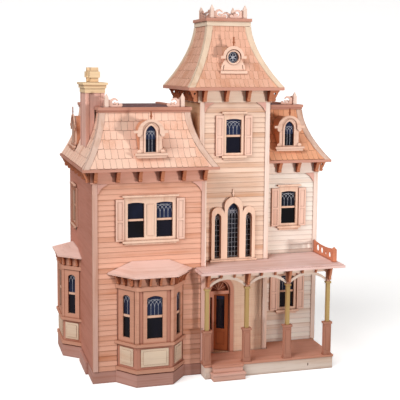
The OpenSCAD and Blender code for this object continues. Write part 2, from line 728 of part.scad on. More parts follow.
// Puts its children at the front, wing and side dormers and trims them to the roof
module off_roofs() {
    difference() {
        translate([main_c, main_dormer_y, 0]) children();
        front_core(0, main_w, 0);
    }
    difference() {
        translate([wing_c - 8, wing_dormer_y, 0]) children();
        front_core(tower_x1, wing_x1, wing_y);
    }
    difference() {
        translate([side_dormer_x, side_dormer_y, 0]) rotate([0, 0, -90]) children();
        side_core();
    }
}
module dormer_cases() color(ply) placed() {
    off_roofs() across(trim_t, 90) difference() {
        translate([0, dormer_z]) arched(dormer_w, 100, 30);
        translate([0, dormer_z - 1]) arched(dormer_w - 8, 97, 28);
    }
    difference() {
        translate([round_c, round_y, 0]) across(trim_t, 70) difference() {
            translate([0, round_z]) circle(24, $fn = 64);
            translate([0, round_z]) circle(20.5, $fn = 64);
        }
        spire_core();
    }
}
module spire_core() translate([0, tower_y, 0]) along(tower_x, tower_w)
    polygon(thick(slope_line(spire_z, spire_top, spire_half[1] - spire_top_half, spire_foot), -0.02, 100));
module dormer_fronts() color(trim) placed() {
    off_roofs() across(0, trim_t) difference() {
        translate([0, dormer_z]) arched(dormer_w, 100, 30);
        translate([0, dormer_z + 12]) lancet(dormer_glass[0], dormer_glass[1]);
    }
    difference() {
        translate([round_c, round_y, 0]) across(0, trim_t) difference() {
            union() {
                translate([0, round_z]) circle(27, $fn = 72);
                translate([0, round_z])
                    polygon([[-40, -44], [40, -44], [36, -24], [26, -6], [-26, -6], [-36, -24]]);
            }
            translate([0, round_z]) circle(round_r, $fn = 64);
            for (s = [-1, 1]) translate([s * 30, round_z - 30]) rotate(s * 12) rect(-1, -8, 1, 8);
        }
        spire_core();
    }
}
module finial(z, h) translate([0, 0, z]) across(-1.5, 3) {
    rect(-2, 0, 2, h);
    translate([0, h * 0.45]) circle(3.6, $fn = 24);
    translate([0, h]) circle(2.2, $fn = 24);
}
// Hoods with ears, sills and finials
module dormer_hood() {
    across(-4, 4) difference() {
        union() {
            translate([0, dormer_z + 62]) arched(dormer_w + 15, 43, 36);
            rect(-50, dormer_z + 66, 50, dormer_z + 74);
            for (s = [-1, 1]) translate([s * (dormer_w / 2 + 2), dormer_z + 62]) circle(6, $fn = 32);
        }
        translate([0, dormer_z + 60]) arched(dormer_w - 14, 38, 30);
        rect(-dormer_w / 2 + 7, 0, dormer_w / 2 - 7, dormer_z + 70);
    }
    // Moulding round the glass and scrolls at the foot
    across(-2.5, 2.5) {
        translate([0, dormer_z + 9]) difference() {
            lancet(dormer_glass[0] + 11, dormer_glass[1] + 9);
            translate([0, 3]) lancet(dormer_glass[0], dormer_glass[1]);
        }
        for (s = [-1, 1]) translate([s * (dormer_w / 2 + 2), dormer_z + 13]) circle(6.5, $fn = 32);
    }
    translate([0, -2, 0]) finial(dormer_z + 104, 22);
    block(-44, -8, dormer_z - 4, 44, 0, dormer_z + 3);
    block(-48, -11, dormer_z + 3, 48, 0, dormer_z + 9);
}
module dormer_trims() color(trim) placed() {
    off_roofs() dormer_hood();
    difference() {
        translate([round_c, round_y, 0]) {
            across(-5, 5) difference() {
                union() {
                    translate([0, round_z]) circle(33, $fn = 72);
                    rect(-40, round_z - 4, 40, round_z + 4);
                }
                translate([0, round_z]) circle(24, $fn = 72);
                rect(-60, round_z - 60, 60, round_z - 4);
            }
            across(-3, 3) translate([0, round_z]) difference() {
                circle(round_r + 4, $fn = 72);
                circle(round_r, $fn = 64);
            }
            translate([0, -2, 0]) finial(round_z + 32, 26);
            block(-42, -9, round_z - 48, 42, 0, round_z - 40);
        }
        spire_core();
    }
}

// ---- Bays ----

module bay_walls(b) difference() {
    bay_ring(b, base_h, second_z - 2, -wall_t, 0);
    block(-b[0] - 20, 0, 0, b[0] + 20, 20, far);
    for (i = [0:2]) on_facet(b, i) across(-5, 15) translate([0, bay_sill - sash_rim])
        rect(-bay_glass[i] / 2 - 1, 0, bay_glass[i] / 2 + 1, bay_glass_h + 2 * sash_rim);
}
module front_bay_walls() color(ply) placed() at_front() bay_walls(bays[0]);
module side_bay_walls() color(ply) placed() at_side() bay_walls(bays[1]);

// Hipped roof: three slopes that rise from the bay's eaves to the wall
module bay_slope(b, i, run) on_facet(b, i) translate([0, -b[3], 0])
    along(-far / 8, far / 4) polygon([[0, 0], [0, 5], [run, b[4]], [far / 8, b[4]], [far / 8, 0]]);
module bay_roof(b) translate([0, 0, second_z - 2]) intersection() {
    linear_extrude(b[4]) polygon(bay_line(b, b[3]));
    bay_slope(b, 0, b[3] + 34);
    bay_slope(b, 1, b[3] + b[2]);
    bay_slope(b, 2, b[3] + 34);
}
module bay_roofs() color(ply) placed() {
    at_front() off_siding() bay_roof(bays[0]);
    at_side() bay_roof(bays[1]);
}
module bay_trim(b) {
    bay_ring(b, second_z - 30, second_z - 2, 0, 3);
    bay_ring(b, second_z - 42, second_z - 30.1, 0, 6);
    bay_ring(b, 118, 126, 0, 8);
    bay_ring(b, base_h + 4, base_h + 14, 0, 6);
    for (i = [0:2]) on_facet(b, i) across(-2.5, 2.5) difference() {
        side = bay_glass[i] / 2 + (i == 1 ? 9 : 13);
        translate([0, 126.1]) rect(-side, 0, side, 152);
        translate([0, bay_sill]) arched(bay_glass[i] - 4, bay_glass_h, 7);
    }
    // Slim posts that wrap the two outer corners
    intersection() {
        bay_ring(b, 126.1, second_z - 42.1, 0, 4);
        for (s = [-1, 1]) translate([s * b[1], -b[2], 126.1]) cylinder(h = 160, r = 6.5, $fn = 48);
    }
}
module bay_mouldings() color(trim) placed() {
    at_front() off_siding() bay_trim(bays[0]);
    at_side() bay_trim(bays[1]);
}
module bay_panel(b) for (i = [0:2]) on_facet(b, i) {
    w = i == 1 ? 2 * b[1] - 23 : 48;
    across(-2.5, 2.5) rect(-w / 2, 58, w / 2, 110);
    across(-4, 1.5) rect(-w / 2 + 7, 65, w / 2 - 7, 103);
}
module bay_panels() color(pale) placed() {
    at_front() off_siding() bay_panel(bays[0]);
    at_side() bay_panel(bays[1]);
}
module bay_scrolls(b) for (i = [0:2]) on_facet(b, i)
    for (x = i == 1 ? [-45, -15, 15, 45] : [-24, 0, 24])
        translate([x, -3, second_z - 2]) bracket(b[3] - 5, 26, 6);
module bay_brackets() color(trim) placed() {
    at_front() off_siding() bay_scrolls(bays[0]);
    at_side() bay_scrolls(bays[1]);
}

// ---- Windows ----

module sash_pair_at() for (s = concat(main_sashes, single_sashes)) translate([s[0], s[1], s[2]]) children();
module side_sash_at() translate([0, side_window_y, side_sill]) rotate([0, 0, -90]) children();
module sash_frame() across(0.2, 3) {
    difference() {
        rect(-glass_w / 2 - sash_rim + 0.1, -sash_rim, glass_w / 2 + sash_rim - 0.1, glass_h + sash_rim);
        arched(glass_w, glass_h, sash_rise);
    }
    rect(-glass_w / 2, 48, glass_w / 2, 54);
}
module bay_sash(b, i) on_facet(b, i) translate([0, 0, bay_sill]) across(0.1, 2.8) {
    difference() {
        rect(-bay_glass[i] / 2 - 0.9, -sash_rim + 0.1,
            bay_glass[i] / 2 + 0.9, bay_glass_h + sash_rim - 0.1);
        arched(bay_glass[i] - 4, bay_glass_h, 7);
    }
    rect(-bay_glass[i] / 2, 60, bay_glass[i] / 2, 67);
}
module bay_pane(b, i) on_facet(b, i) translate([0, 0, bay_sill]) across(2.9, 0.9)
    rect(-bay_glass[i] / 2, -1, bay_glass[i] / 2, bay_glass_h + 1);
module window_sashes() color(trim) placed() {
    sash_pair_at() sash_frame();
    side_sash_at() sash_frame();
    at_front() for (i = [0:2]) bay_sash(bays[0], i);
    at_side() for (i = [0:2]) bay_sash(bays[1], i);
}
module window_glass() color(dark) placed() {
    pane = [glass_w + 2 * sash_rim - 0.4, glass_h + 2 * sash_rim - 0.4];
    sash_pair_at() block(-pane[0] / 2, 3.3, -sash_rim + 0.2, pane[0] / 2, 4, glass_h + sash_rim - 0.2);
    side_sash_at() block(-pane[0] / 2, 3.3, -sash_rim + 0.2, pane[0] / 2, 4, glass_h + sash_rim - 0.2);
    at_front() for (i = [0:2]) bay_pane(bays[0], i);
    at_side() for (i = [0:2]) bay_pane(bays[1], i);
    for (l = lancets) translate([window_c + l[0], tower_y + wall_t, lancet_z - 3])
        block(-l[1] / 2 - 3, 0, 0, l[1] / 2 + 3, 1, l[2] - lancet_z + 6);
    block(side_light[0] - 1, tower_y + jamb_d + 0.2, deck_z + 70,
        side_light[1] + 1, tower_y + jamb_d + 1.2, transom_z - 6);
    off_roofs() translate([0, trim_t + 0.1, dormer_z + 10])
        block(-dormer_glass[0] / 2 - 1.5, 0, 0, dormer_glass[0] / 2 + 1.5, 1, dormer_glass[1] + 3);
    difference() {
        translate([round_c, round_y + trim_t + 0.1, round_z])
            rotate([-90, 0, 0]) cylinder(h = 1, r = 20, $fn = 64);
        spire_core();
    }
}
// Casing of width w round one or more openings given as offsets
module casing(w, offsets) {
    across(-casing_t, casing_t) difference() {
        rect(-w / 2, -casing_foot, w / 2, glass_h + casing_top);
        for (x = offsets) translate([x, 0]) arched(glass_w, glass_h, sash_rise);
    }
    across(-ledge_out, ledge_out - siding_t) {
        rect(-w / 2 - 6, glass_h + casing_top + seam, w / 2 + 6, glass_h + casing_top + ledge_t);
        rect(-w / 2 - 6, -casing_foot - ledge_t - 1, w / 2 + 6, -casing_foot - seam);
    }
    across(-apron_out, apron_out - siding_t) rect(-w / 2, -20, w / 2, -casing_foot - ledge_t - 1 - seam);
}
// Outline of the triple window's frame: a tall middle and two lower sides, all round-topped
module lancet_frame_shape() translate([window_c, 0]) {
    rect(-69, lancet_foot, 69, 466);
    for (l = lancets) translate([l[0], lancet_foot])
        arched(l[1] + 2 * lancet_rim, l[2] - lancet_foot + 18, l[1] / 2 + lancet_rim - 0.5);
    rect(-29, 460, 29, 496);
}
module window_casings() color(trim) placed() {
    translate([main_c, 0, sill_2]) {
        casing(pair_w, [for (s = [-1, 1]) s * (glass_w + mullion_w) / 2]);
        across(-6, 1.9) rect(-mullion_w / 2 + 8, 6, mullion_w / 2 - 8, glass_h - 6);
    }
    for (s = single_sashes) translate([s[0], s[1], s[2]]) casing(single_w, [0]);
    side_sash_at() casing(single_w, [0]);
    across(tower_y - lancet_t, lancet_t) difference() {
        lancet_frame_shape();
        for (l = lancets) translate([window_c + l[0], lancet_z]) lancet(l[1], l[2] - lancet_z);
    }
    across(tower_y - lancet_t - 4, lancet_t + 4 - siding_t)
        rect(window_c - 74, porch_top + seam, window_c + 74, lancet_foot - seam);
    translate([window_c, tower_y - 5, 0]) finial(lancet_z + 187, 20);
}
module shutter() {
    difference() {
        across(-5, 5) rect(-shutter_w / 2, -casing_foot, shutter_w / 2, glass_h + 10);
        for (z = [[-3, 46], [52, 105]])
            across(-6, 2.5) rect(-shutter_w / 2 + 5, z[0], shutter_w / 2 - 5, z[1]);
    }
}
module shutters() color(trim) placed() {
    for (s = [-1, 1]) {
        x = (single_w + shutter_w) / 2 + 0.2;
        translate([main_c + s * (pair_w + shutter_w + 0.4) / 2, -siding_t, sill_2]) shutter();
        for (w = single_sashes) translate([w[0] + s * x, w[1] - siding_t, w[2]]) shutter();
        side_sash_at() translate([s * x, 0, 0]) shutter();
    }
}

// ---- Porch ----

module porch_plan(d, side) difference() {
    rect(post_xs[0] - 8 - side, -deck_y - d, post_xs[3] + 19 + side, wing_y - trim_t - 0.2);
    rect(-far, -trim_t - 0.2, main_w + 1.2, far);
    rect(main_w - 1, tower_y - trim_t - 0.2, tower_x1 + trim_t, far);
}
module porch_deck() color(ply) placed() translate([0, 0, deck_z - floor_t]) linear_extrude(floor_t) {
    porch_plan(2, 0);
    rect(342, -deck_y - 16, 436, -deck_y);
}
module porch_base() color(trim) placed() {
    linear_extrude(deck_z - floor_t) difference() {
        porch_plan(0, -2);
        rect(post_xs[0], -deck_y + 6, post_xs[3] + 10, far);
    }
    block(340, -deck_y - 26, 0, 438, -deck_y, 16);
    block(338, -deck_y - 28, 16, 440, -deck_y, 21);
    block(344, -deck_y - 14, 21, 434, -deck_y, deck_z - floor_t);
}
module porch_posts() color(butter) placed() for (x = post_xs) translate([x, post_y, deck_z]) {
    p = post_w / 2;
    block(-13, -8, 0, 13, 8, 5);
    block(-11, -7.5, 5, 11, 7.5, 96);
    block(-7, -8.8, 14, 7, 8.8, 88);
    block(-14, -9, 96, 14, 9, 102);
    top = porch_z - deck_z;
    block(-p, -p, 102, p, p, top);
    block(-p - 3, -p - 1.5, top - 53, p + 3, p + 1.5, top - 47);
}
module porch_roof() color(ply) placed() {
    translate([0, 0, porch_z]) linear_extrude(7) porch_plan(28, 20);
    translate([0, 0, porch_z + 7]) linear_extrude(3) porch_plan(24, 16);
}
// Fretwork between two posts: a rail with three rounded drops over an arch open at its corners
module fret(x0, x1) {
    w = x1 - x0;
    rect(x0, porch_z - 6, x1, porch_z);
    for (k = [0:2]) translate([x0 + (k + 0.5) * w / 3, porch_z - 16]) fret_drop(w / 3 - 8, 5);
    translate([(x0 + x1) / 2, porch_z - 53]) difference() {
        arched(w, 39, 24);
        translate([0, -1]) arched(w - 1, 31, 24);
        rect(-w, -1, w, 6.5);
    }
}
module fret_drop(w, r) {
    rect(-w / 2, r, w / 2, 16);
    rect(-w / 2 + r, 0, w / 2 - r, 16);
    for (s = [-1, 1]) translate([s * (w / 2 - r), r]) circle(r, $fn = 32);
}
module porch_frieze() color(trim) placed() {
    half = post_w / 2 + 0.1;
    for (i = [0:2]) across(post_y - 2, 4) fret(post_xs[i] + half, post_xs[i + 1] - half);
    for (i = [0:2]) for (k = [1, 2]) {
        step = (post_xs[i + 1] - post_xs[i]) / 3;
        translate([post_xs[i] + k * step, post_y - 2.1, porch_z]) bracket(14, 17, 5);
    }
    for (x = post_xs) translate([x, post_y - post_w / 2 - 0.1, porch_z]) bracket(20, 40, 7);
    along(post_xs[3] - 2, 4) difference() {
        rect(post_y + half, porch_z - 22, wing_y - trim_t - 0.2, porch_z);
        translate([(post_y + wing_y) / 2, porch_z - 52]) arched(wing_y - post_y - 30, 40, 20);
    }
}
// Side board on the porch roof, from the wing's corner out to a small newel
module porch_rail() color(trim) placed() {
    z = porch_z + 10;
    x = post_xs[3] + 18;
    front = post_y + 12;
    back = wing_y - trim_t - 0.2;
    along(x, 4) difference() {
        rect(front, z, back, z + 43);
        translate([(front + back) / 2, z + 43 + 390]) circle(400, $fn = 240);
        for (k = [[22, 16, 9], [50, 14, 6], [78, 18, 10], [108, 20, 11]])
            translate([front + k[0], z + k[1]]) circle(k[2], $fn = 40);
    }
    block(x - 4, front - 14.1, z, x + 8, front - 0.1, z + 38);
    translate([x + 2, front - 7.1, z + 38]) rotate([0, 0, 45]) cylinder(h = 7, r1 = 8.4, r2 = 1.5, $fn = 4);
}

// ---- Doors ----

// A door leaf hung on pins at x = 0, y = 0, its foot at z = 0, running out along -x
module leaf(w) difference() {
    union() {
        block(-w, -leaf_t / 2, 0, 0, leaf_t / 2, leaf_h);
        cylinder(h = leaf_h, r = leaf_t / 2, $fn = 48);
    }
    for (z = [-1, leaf_h - 8]) translate([0, 0, z]) cylinder(h = 9, r = pin_r + 0.05, $fn = 32);
}
module leaf_recess(x0, z0, x1, z1, depth = 1.2) for (s = [-1, 1])
    block(x0, s * leaf_t / 2 - depth, z0, x1, s * leaf_t / 2 + depth, z1);
module knob(w) translate([-w + 5, 0, 82]) {
    for (s = [0, 180]) rotate([90, 0, s]) {
        translate([0, 0, leaf_t / 2]) cylinder(h = 3, r = 1.2, $fn = 24);
        translate([0, 0, leaf_t / 2 + 4]) sphere(2.4, $fn = 24);
    }
}
// Moves a leaf to its hinge: the front door stands ajar, the inner doors are shut
front_hinge = [front_door_x, tower_y + 6];
module at_front_door() translate([front_hinge[0], front_hinge[1], door_sill])
    rotate([0, 0, -ajar]) children();
inner_hinge_y = inner_door_y + inner_leaf_w / 2;
module at_parlour_door() translate([tower_x + wall_t / 2, inner_hinge_y, door_sill])
    rotate([0, 0, 90]) children();
module at_bedroom_door() translate([tower_x1 - wall_t / 2, inner_hinge_y, second_z + floor_t + 1])
    rotate([0, 0, 90]) children();
door_light = [-front_leaf_w + 10, -9];
module front_door() color(brown) placed() at_front_door() difference() {
    leaf(front_leaf_w);
    block(door_light[0], -9, 68, door_light[1], 9, leaf_h - 7);
    leaf_recess(door_light[0], 18, door_light[1], 58, 1.8);
}
module front_door_glass() color(dark) placed() at_front_door()
    block(door_light[0], -0.6, 68, door_light[1], 0.6, leaf_h - 7);
module front_door_knob() color(butter) placed() at_front_door() knob(front_leaf_w);
module inner_leaf() {
    difference() {
        leaf(inner_leaf_w);
        for (z = [[16, 72], [90, leaf_h - 14]]) for (x = [[-48, -30], [-24, -6]])
            leaf_recess(x[0], z[0], x[1], z[1]);
    }
    knob(inner_leaf_w);
}
module parlour_door() color(trim) placed() at_parlour_door() inner_leaf();
module bedroom_door() color(trim) placed() at_bedroom_door() inner_leaf();

// Lining of a doorway: two jambs and a head round a leaf of width w, hinged at x = 0
module lining(w, depth) difference() {
    block(-w - 4, -depth / 2, -1, 4, depth / 2, leaf_h + 5);
    block(-w - 0.5, -depth, -2, 3, depth, leaf_h + 1);
    translate([0, 0, leaf_h]) cylinder(h = 8, r = pin_r, $fn = 32);
}
module fanlight_shape() translate([entry_c, transom_z + 10])
    arched(front_open[1] - front_open[0] - 10, arch_z - transom_z - 15, 24);
module door_frames() color(trim) placed() {
    // Front entry: side panel, jamb, transom bar and fanlight rim
    difference() {
        across(tower_y + 0.1, jamb_d) difference() {
            intersection() {
                entry_shape(-0.1);
                rect(0, deck_z + 0.1, far, far);
            }
            rect(front_door_x - front_leaf_w - 0.5, 0, front_door_x + 3, transom_z);
            rect(side_light[0], deck_z + 72, side_light[1], transom_z - 8);
            fanlight_shape();
        }
        translate([front_hinge[0], front_hinge[1], door_sill + leaf_h])
            cylinder(h = 12, r = pin_r, $fn = 32);
    }
    // Fanlight panel behind a sunburst of ribs
    across(tower_y + jamb_d + 0.2, 1) intersection() {
        entry_shape(-1);
        rect(0, transom_z + 1, far, arch_z);
    }
    across(tower_y + jamb_d - 2, 2) intersection() {
        fanlight_shape();
        for (a = [30:30:150]) translate([entry_c, transom_z + 10]) rotate(a) rect(0, -0.9, 60, 0.9);
    }
    across(tower_y - trim_t, trim_t) difference() {
        entry_shape(11);
        entry_shape(0);
        rect(0, 0, far, deck_z + 0.1);
    }
    at_parlour_door() lining(inner_leaf_w, 12);
    at_bedroom_door() lining(inner_leaf_w, 12);
}
module pins() for (z = [-4, leaf_h - 6]) translate([0, 0, z]) cylinder(h = 11, r = pin_r, $fn = 32);
module door_pins() color("silver") placed() {
    at_front_door() pins();
    at_parlour_door() pins();
    at_bedroom_door() pins();
}

// ---- Inside ----

// A flight of w wide that climbs towards the back, with a sloping underside
module stair(rise, run, w) along(0, w) polygon(concat(
    [for (i = [0:stair_steps - 1]) each [[i * run, i * rise], [i * run, (i + 1) * rise]]],
    [[stair_steps * run, stair_steps * rise], [stair_steps * run, (stair_steps - 1.6) * rise],
    [1.6 * run, 0]]));
module staircases() color(ply) placed() {
    rise_1 = (second_z + floor_t - deck_z) / (stair_steps + 1);
    rise_2 = (eave_z - second_z) / (stair_steps + 1);
    translate([tower_x1 - 60, 134, deck_z]) stair(rise_1, 14, 52);
    translate([main_w + 5, 134, second_z + floor_t]) stair(rise_2, 14, 50);
}
module fireplace() color(pale) placed() translate([wall_t, 166, deck_z]) {
    difference() {
        block(0, -36, 0, 14, 36, 88);
        block(-1, -20, -1, 12, 20, 58);
    }
    block(0, -42, 88, 20, 42, 94);
}

foundation();
ground_floor();
second_floor();
attic_floor();
tower_ceiling();
main_front_wall();
left_side_wall();
left_partition();
right_partition();
tower_front_wall();
tower_back_wall();
wing_front_wall();
right_side_wall();
main_siding();
tower_siding();
wing_siding();
corner_boards();
friezes();
spandrels();
eave_brackets();
eaves();
main_roof();
wing_roof();
tower_roof();
hip_boards();
flat_roofs();
roof_cornices();
crest_posts();
crest_scrolls();
chimney_shaft();
chimney_cap();
chimney_pots();
dormer_cases();
dormer_fronts();
dormer_trims();
front_bay_walls();
side_bay_walls();
bay_roofs();
bay_mouldings();
bay_panels();
bay_brackets();
window_sashes();
window_glass();
window_casings();
shutters();
porch_deck();
porch_base();
porch_posts();
porch_roof();
porch_frieze();
porch_rail();
door_frames();
door_pins();
front_door();
front_door_glass();
front_door_knob();
parlour_door();
bedroom_door();
staircases();
fireplace();
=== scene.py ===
"""Looks of the wooden dollhouse: bare wood, shingles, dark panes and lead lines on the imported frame."""

import math
import random

import bmesh
import bpy
from mathutils import Matrix, Vector
from mathutils.bvhtree import BVHTree


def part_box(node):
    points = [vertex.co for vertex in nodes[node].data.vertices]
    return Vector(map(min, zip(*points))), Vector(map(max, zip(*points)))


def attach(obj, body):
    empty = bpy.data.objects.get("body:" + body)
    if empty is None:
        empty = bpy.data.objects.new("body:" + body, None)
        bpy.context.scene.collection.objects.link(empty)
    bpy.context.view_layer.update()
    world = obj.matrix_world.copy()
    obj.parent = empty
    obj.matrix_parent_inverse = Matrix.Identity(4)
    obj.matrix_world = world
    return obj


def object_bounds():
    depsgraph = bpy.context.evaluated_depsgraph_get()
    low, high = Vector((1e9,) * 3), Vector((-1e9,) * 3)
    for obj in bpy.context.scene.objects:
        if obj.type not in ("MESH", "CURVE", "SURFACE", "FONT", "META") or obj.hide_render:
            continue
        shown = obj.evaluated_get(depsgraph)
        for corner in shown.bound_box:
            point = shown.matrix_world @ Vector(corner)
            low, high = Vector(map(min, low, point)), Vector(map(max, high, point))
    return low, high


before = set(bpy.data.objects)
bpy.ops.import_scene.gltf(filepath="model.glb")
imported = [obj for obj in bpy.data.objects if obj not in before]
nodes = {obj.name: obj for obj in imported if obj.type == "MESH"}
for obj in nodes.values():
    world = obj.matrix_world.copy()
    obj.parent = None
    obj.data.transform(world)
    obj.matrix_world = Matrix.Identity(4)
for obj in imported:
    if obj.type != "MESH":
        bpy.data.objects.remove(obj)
cad_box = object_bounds()
rng = random.Random(7)
MM = 0.001
X, Y, Z = range(3)
scene = bpy.context.scene


# ---- Materials ----

# Painted shade in crevices: its reach here, and its brown tone first on the next line
CREVICE_SHADE_REACH = 6 * MM
CREVICE_SHADE_TONE, KNOT_TONE = (122, 58, 32), (92, 54, 40)
WOOD_SHINE = 0.25
SAME_POINT = 2e-6


def linear(rgb):
    """sRGB 0-255 to the linear colour that shaders take."""
    out = []
    for c in rgb:
        c /= 255
        out.append(c / 12.92 if c <= 0.04045 else ((c + 0.055) / 1.055) ** 2.4)
    return (*out, 1.0)


class Graph:
    """A material's node tree with short ways to add and link nodes."""

    def __init__(self, name):
        self.material = bpy.data.materials.new(name)
        self.material.use_nodes = True
        self.tree = self.material.node_tree
        self.tree.nodes.clear()
        out = self.tree.nodes.new("ShaderNodeOutputMaterial")
        self.shader = self.tree.nodes.new("ShaderNodeBsdfPrincipled")
        self.link(self.shader.outputs[0], out.inputs[0])
        self.coords = self.add("ShaderNodeTexCoord").outputs["Object"]

    def add(self, kind, inputs=None, **props):
        node = self.tree.nodes.new(kind)
        for key, value in props.items():
            setattr(node, key, value)
        for key, value in (inputs or {}).items():
            if isinstance(value, bpy.types.NodeSocket):
                self.link(value, node.inputs[key])
            else:
                node.inputs[key].default_value = value
        return node

    def link(self, a, b):
        self.tree.links.new(a, b)

    def noise(self, scale, detail=4.0, rough=0.55, distortion=0.0, shift=(0, 0, 0)):
        place = self.add("ShaderNodeMapping",
                         {"Vector": self.coords, "Location": shift, "Scale": scale})
        return self.add(
            "ShaderNodeTexNoise",
            {"Vector": place.outputs[0], "Scale": 1.0, "Detail": detail, "Roughness": rough,
             "Distortion": distortion},
        ).outputs["Fac"]

    def ramp(self, factor, stops):
        node = self.add("ShaderNodeValToRGB", {"Fac": factor})
        items = node.color_ramp.elements
        while len(items) < len(stops):
            items.new(0.5)
        for item, (at, colour) in zip(items, stops):
            item.position = at
            item.color = colour if len(colour) == 4 else (*colour, 1.0)
        return node.outputs[0]

    def math(self, how, a, b=0.0):
        return self.add("ShaderNodeMath", {0: a, 1: b}, operation=how).outputs[0]

    def spread(self, factor, lo, hi, to_lo=0.0, to_hi=1.0):
        return self.add(
            "ShaderNodeMapRange",
            {"Value": factor, "From Min": lo, "From Max": hi, "To Min": to_lo, "To Max": to_hi},
        ).outputs[0]

    def mix(self, factor, a, b):
        node = self.add("ShaderNodeMix", data_type="RGBA")
        for key, value in ((0, factor), (6, a), (7, b)):
            if isinstance(value, bpy.types.NodeSocket):
                self.link(value, node.inputs[key])
            else:
                node.inputs[key].default_value = value
        return node.outputs[2]

    def crevice_shade(self, colour, strength):
        """Painted shade: brown darkening where a surface lies close to another, found by ambient
        occlusion.
        """
        open_air = self.add("ShaderNodeAmbientOcclusion", {"Distance": CREVICE_SHADE_REACH}, samples=6)
        buried = self.spread(open_air.outputs["AO"], 0.35, 0.95, strength, 0.0)
        return self.mix(buried, colour, linear(CREVICE_SHADE_TONE))

    def surface(self, colour, rough, shine=0.5):
        """Sets the base colour, the roughness and the strength of the highlight."""
        inputs = self.shader.inputs
        self.link(colour, inputs["Base Color"])
        self.link(rough, inputs["Roughness"])
        inputs["Specular IOR Level"].default_value = shine

    def bump(self, height, distance, strength=1.0):
        node = self.add("ShaderNodeBump",
                        {"Height": height, "Distance": distance, "Strength": strength})
        self.link(node.outputs[0], self.shader.inputs["Normal"])


# Heights between which panes belong to upper sashes
UPPER_SASHES = ((0.203, 0.300), (0.470, 0.530), (0.704, 0.770), (0.920, 0.960))

# Grain directions: how fast the pattern changes along x, y and z for boards laid each way
ALONG = {"x": (1, 0, 0), "y": (0, 1, 0), "z": (0, 0, 1), "level": (1, 1, 0)}


def stretched(axis, along, across):
    return tuple(along if k else across for k in ALONG[axis])


def shades(tone):
    """Linear light, middle and dark versions of one sRGB wood tone."""
    light = [min(250, c * 1.06) for c in tone]
    dark = [c * k for c, k in zip(tone, (0.88, 0.76, 0.66))]
    return linear(light), linear(tone), linear(dark)


def dimmed(colour, by):
    return (*(c * by for c in colour[:3]), 1.0)


def wood(name, tone, axis="level", contrast=1.0, lap=0.0, lap_from=0.0, scored=0.0, edges=0.0,
         changes=(), knot=None, burn_and_shade=(160, 82, 44)):
    """Bare wood of a middle sRGB tone with the grain along axis.

    lap is the height of a clapboard, each with its own tone and a painted shadow line just under
    the butt of the next board, and lap_from is the foot of the lowest. scored cuts fine lines that
    far apart. edges turns faces that look sideways to the tone given last, partly scorched end
    grain and partly painted shade on the sides. changes lists (axis, from, to, other tone).
    knot is the x and z of one dark knot."""
    g = Graph(name)
    light, middle, dark = shades(tone)
    seed = rng.random() * 20
    parts = g.add("ShaderNodeSeparateXYZ", {0: g.coords}).outputs
    bands = g.noise(stretched(axis, 2.2, 60), 5, 0.6, 0.5, (seed, seed, seed))
    fibres = g.noise(stretched(axis, 14, 560), 3, 0.6, 0.0, (seed, 0, seed))
    patches = g.noise((6, 6, 6), 3, 0.5, 0.2, (0, seed, 0))
    island = g.add("ShaderNodeNewGeometry").outputs["Random Per Island"]

    def vary(value, chance, amount):
        """value moved up or down by a 0 to 1 chance value, by at most half of amount."""
        return g.math("ADD", value, g.math("MULTIPLY", g.math("SUBTRACT", chance, 0.5), amount))

    mixed = g.math("ADD", g.math("MULTIPLY", bands, 0.6), g.math("MULTIPLY", patches, 0.4))
    mixed = vary(mixed, island, 0.10)
    height = g.math("MULTIPLY", fibres, 0.5)
    if lap:
        rows = g.math("DIVIDE", g.math("SUBTRACT", parts[Z], lap_from), lap)
        row = g.math("FLOOR", rows)
        board = g.add("ShaderNodeTexWhiteNoise", {"W": row}, noise_dimensions="1D")
        mixed = vary(mixed, board.outputs["Value"], 0.26)
    half = 0.30 / contrast
    tones = g.spread(mixed, 0.5 - half, 0.5 + half)
    colour = g.ramp(tones, [(0.0, light), (0.5, middle), (1.0, dark)])
    for along, start, end, other in changes:
        inside = g.math("MULTIPLY", g.math("GREATER_THAN", parts[along], start),
                        g.math("LESS_THAN", parts[along], end))
        lighter, same, darker = shades(other)
        colour = g.mix(inside, colour, g.ramp(tones, [(0.0, lighter), (0.5, same), (1.0, darker)]))
    pores = g.spread(fibres, 0.55, 0.8, 0.0, 0.34 * contrast)
    colour = g.mix(pores, colour, dimmed(dark, 0.6))
    if knot:
        away = [g.math("DIVIDE", g.math("SUBTRACT", parts[i], at), size)
                for i, at, size in ((X, knot[0], 2.4 * MM), (Z, knot[1], 5 * MM))]
        squares = [g.math("MULTIPLY", a, a) for a in away]
        ring = g.math("ADD", *squares)
        colour = g.mix(g.spread(ring, 0.3, 1.1, 0.85, 0.0), colour, linear(KNOT_TONE))
    # Painted shadow: a darker line on each clapboard just under the butt of the next
    if lap:
        line = g.spread(g.math("FRACT", rows), 0.84, 0.98, 0.0, 0.24)
        colour = g.mix(line, colour, dimmed(dark, 0.42))
    # Sideways faces turn darker: partly scorched end grain, partly painted shade
    if edges:
        normal = g.add("ShaderNodeNewGeometry").outputs["Normal"]
        normal = g.add("ShaderNodeSeparateXYZ", {0: normal}).outputs
        facing = g.math("ADD", g.math("ABSOLUTE", normal[Y]), g.math("ABSOLUTE", normal[Z]))
        colour = g.mix(g.spread(facing, 0.2, 0.9, edges, 0.0), colour, linear(burn_and_shade))
    if scored:
        for k, pitch in ((Z, scored), (X, scored * 1.6)):
            saw = g.math("FRACT", g.math("DIVIDE", parts[k], pitch))
            line = g.spread(g.math("ABSOLUTE", g.math("SUBTRACT", saw, 0.5)), 0.0, 0.05, 1.0, 0.0)
            colour = g.mix(g.math("MULTIPLY", line, 0.3), colour, dark)
            height = g.math("SUBTRACT", height, g.math("MULTIPLY", line, 1.5))
    # Painted shade in crevices, weaker on clapboards
    g.surface(g.crevice_shade(colour, 0.45 if lap else 0.75), g.spread(fibres, 0.3, 0.7, 0.52, 0.72),
              WOOD_SHINE)
    g.bump(g.math("ADD", height, g.math("MULTIPLY", bands, 0.6)), 0.0004, 0.7)
    return g.material


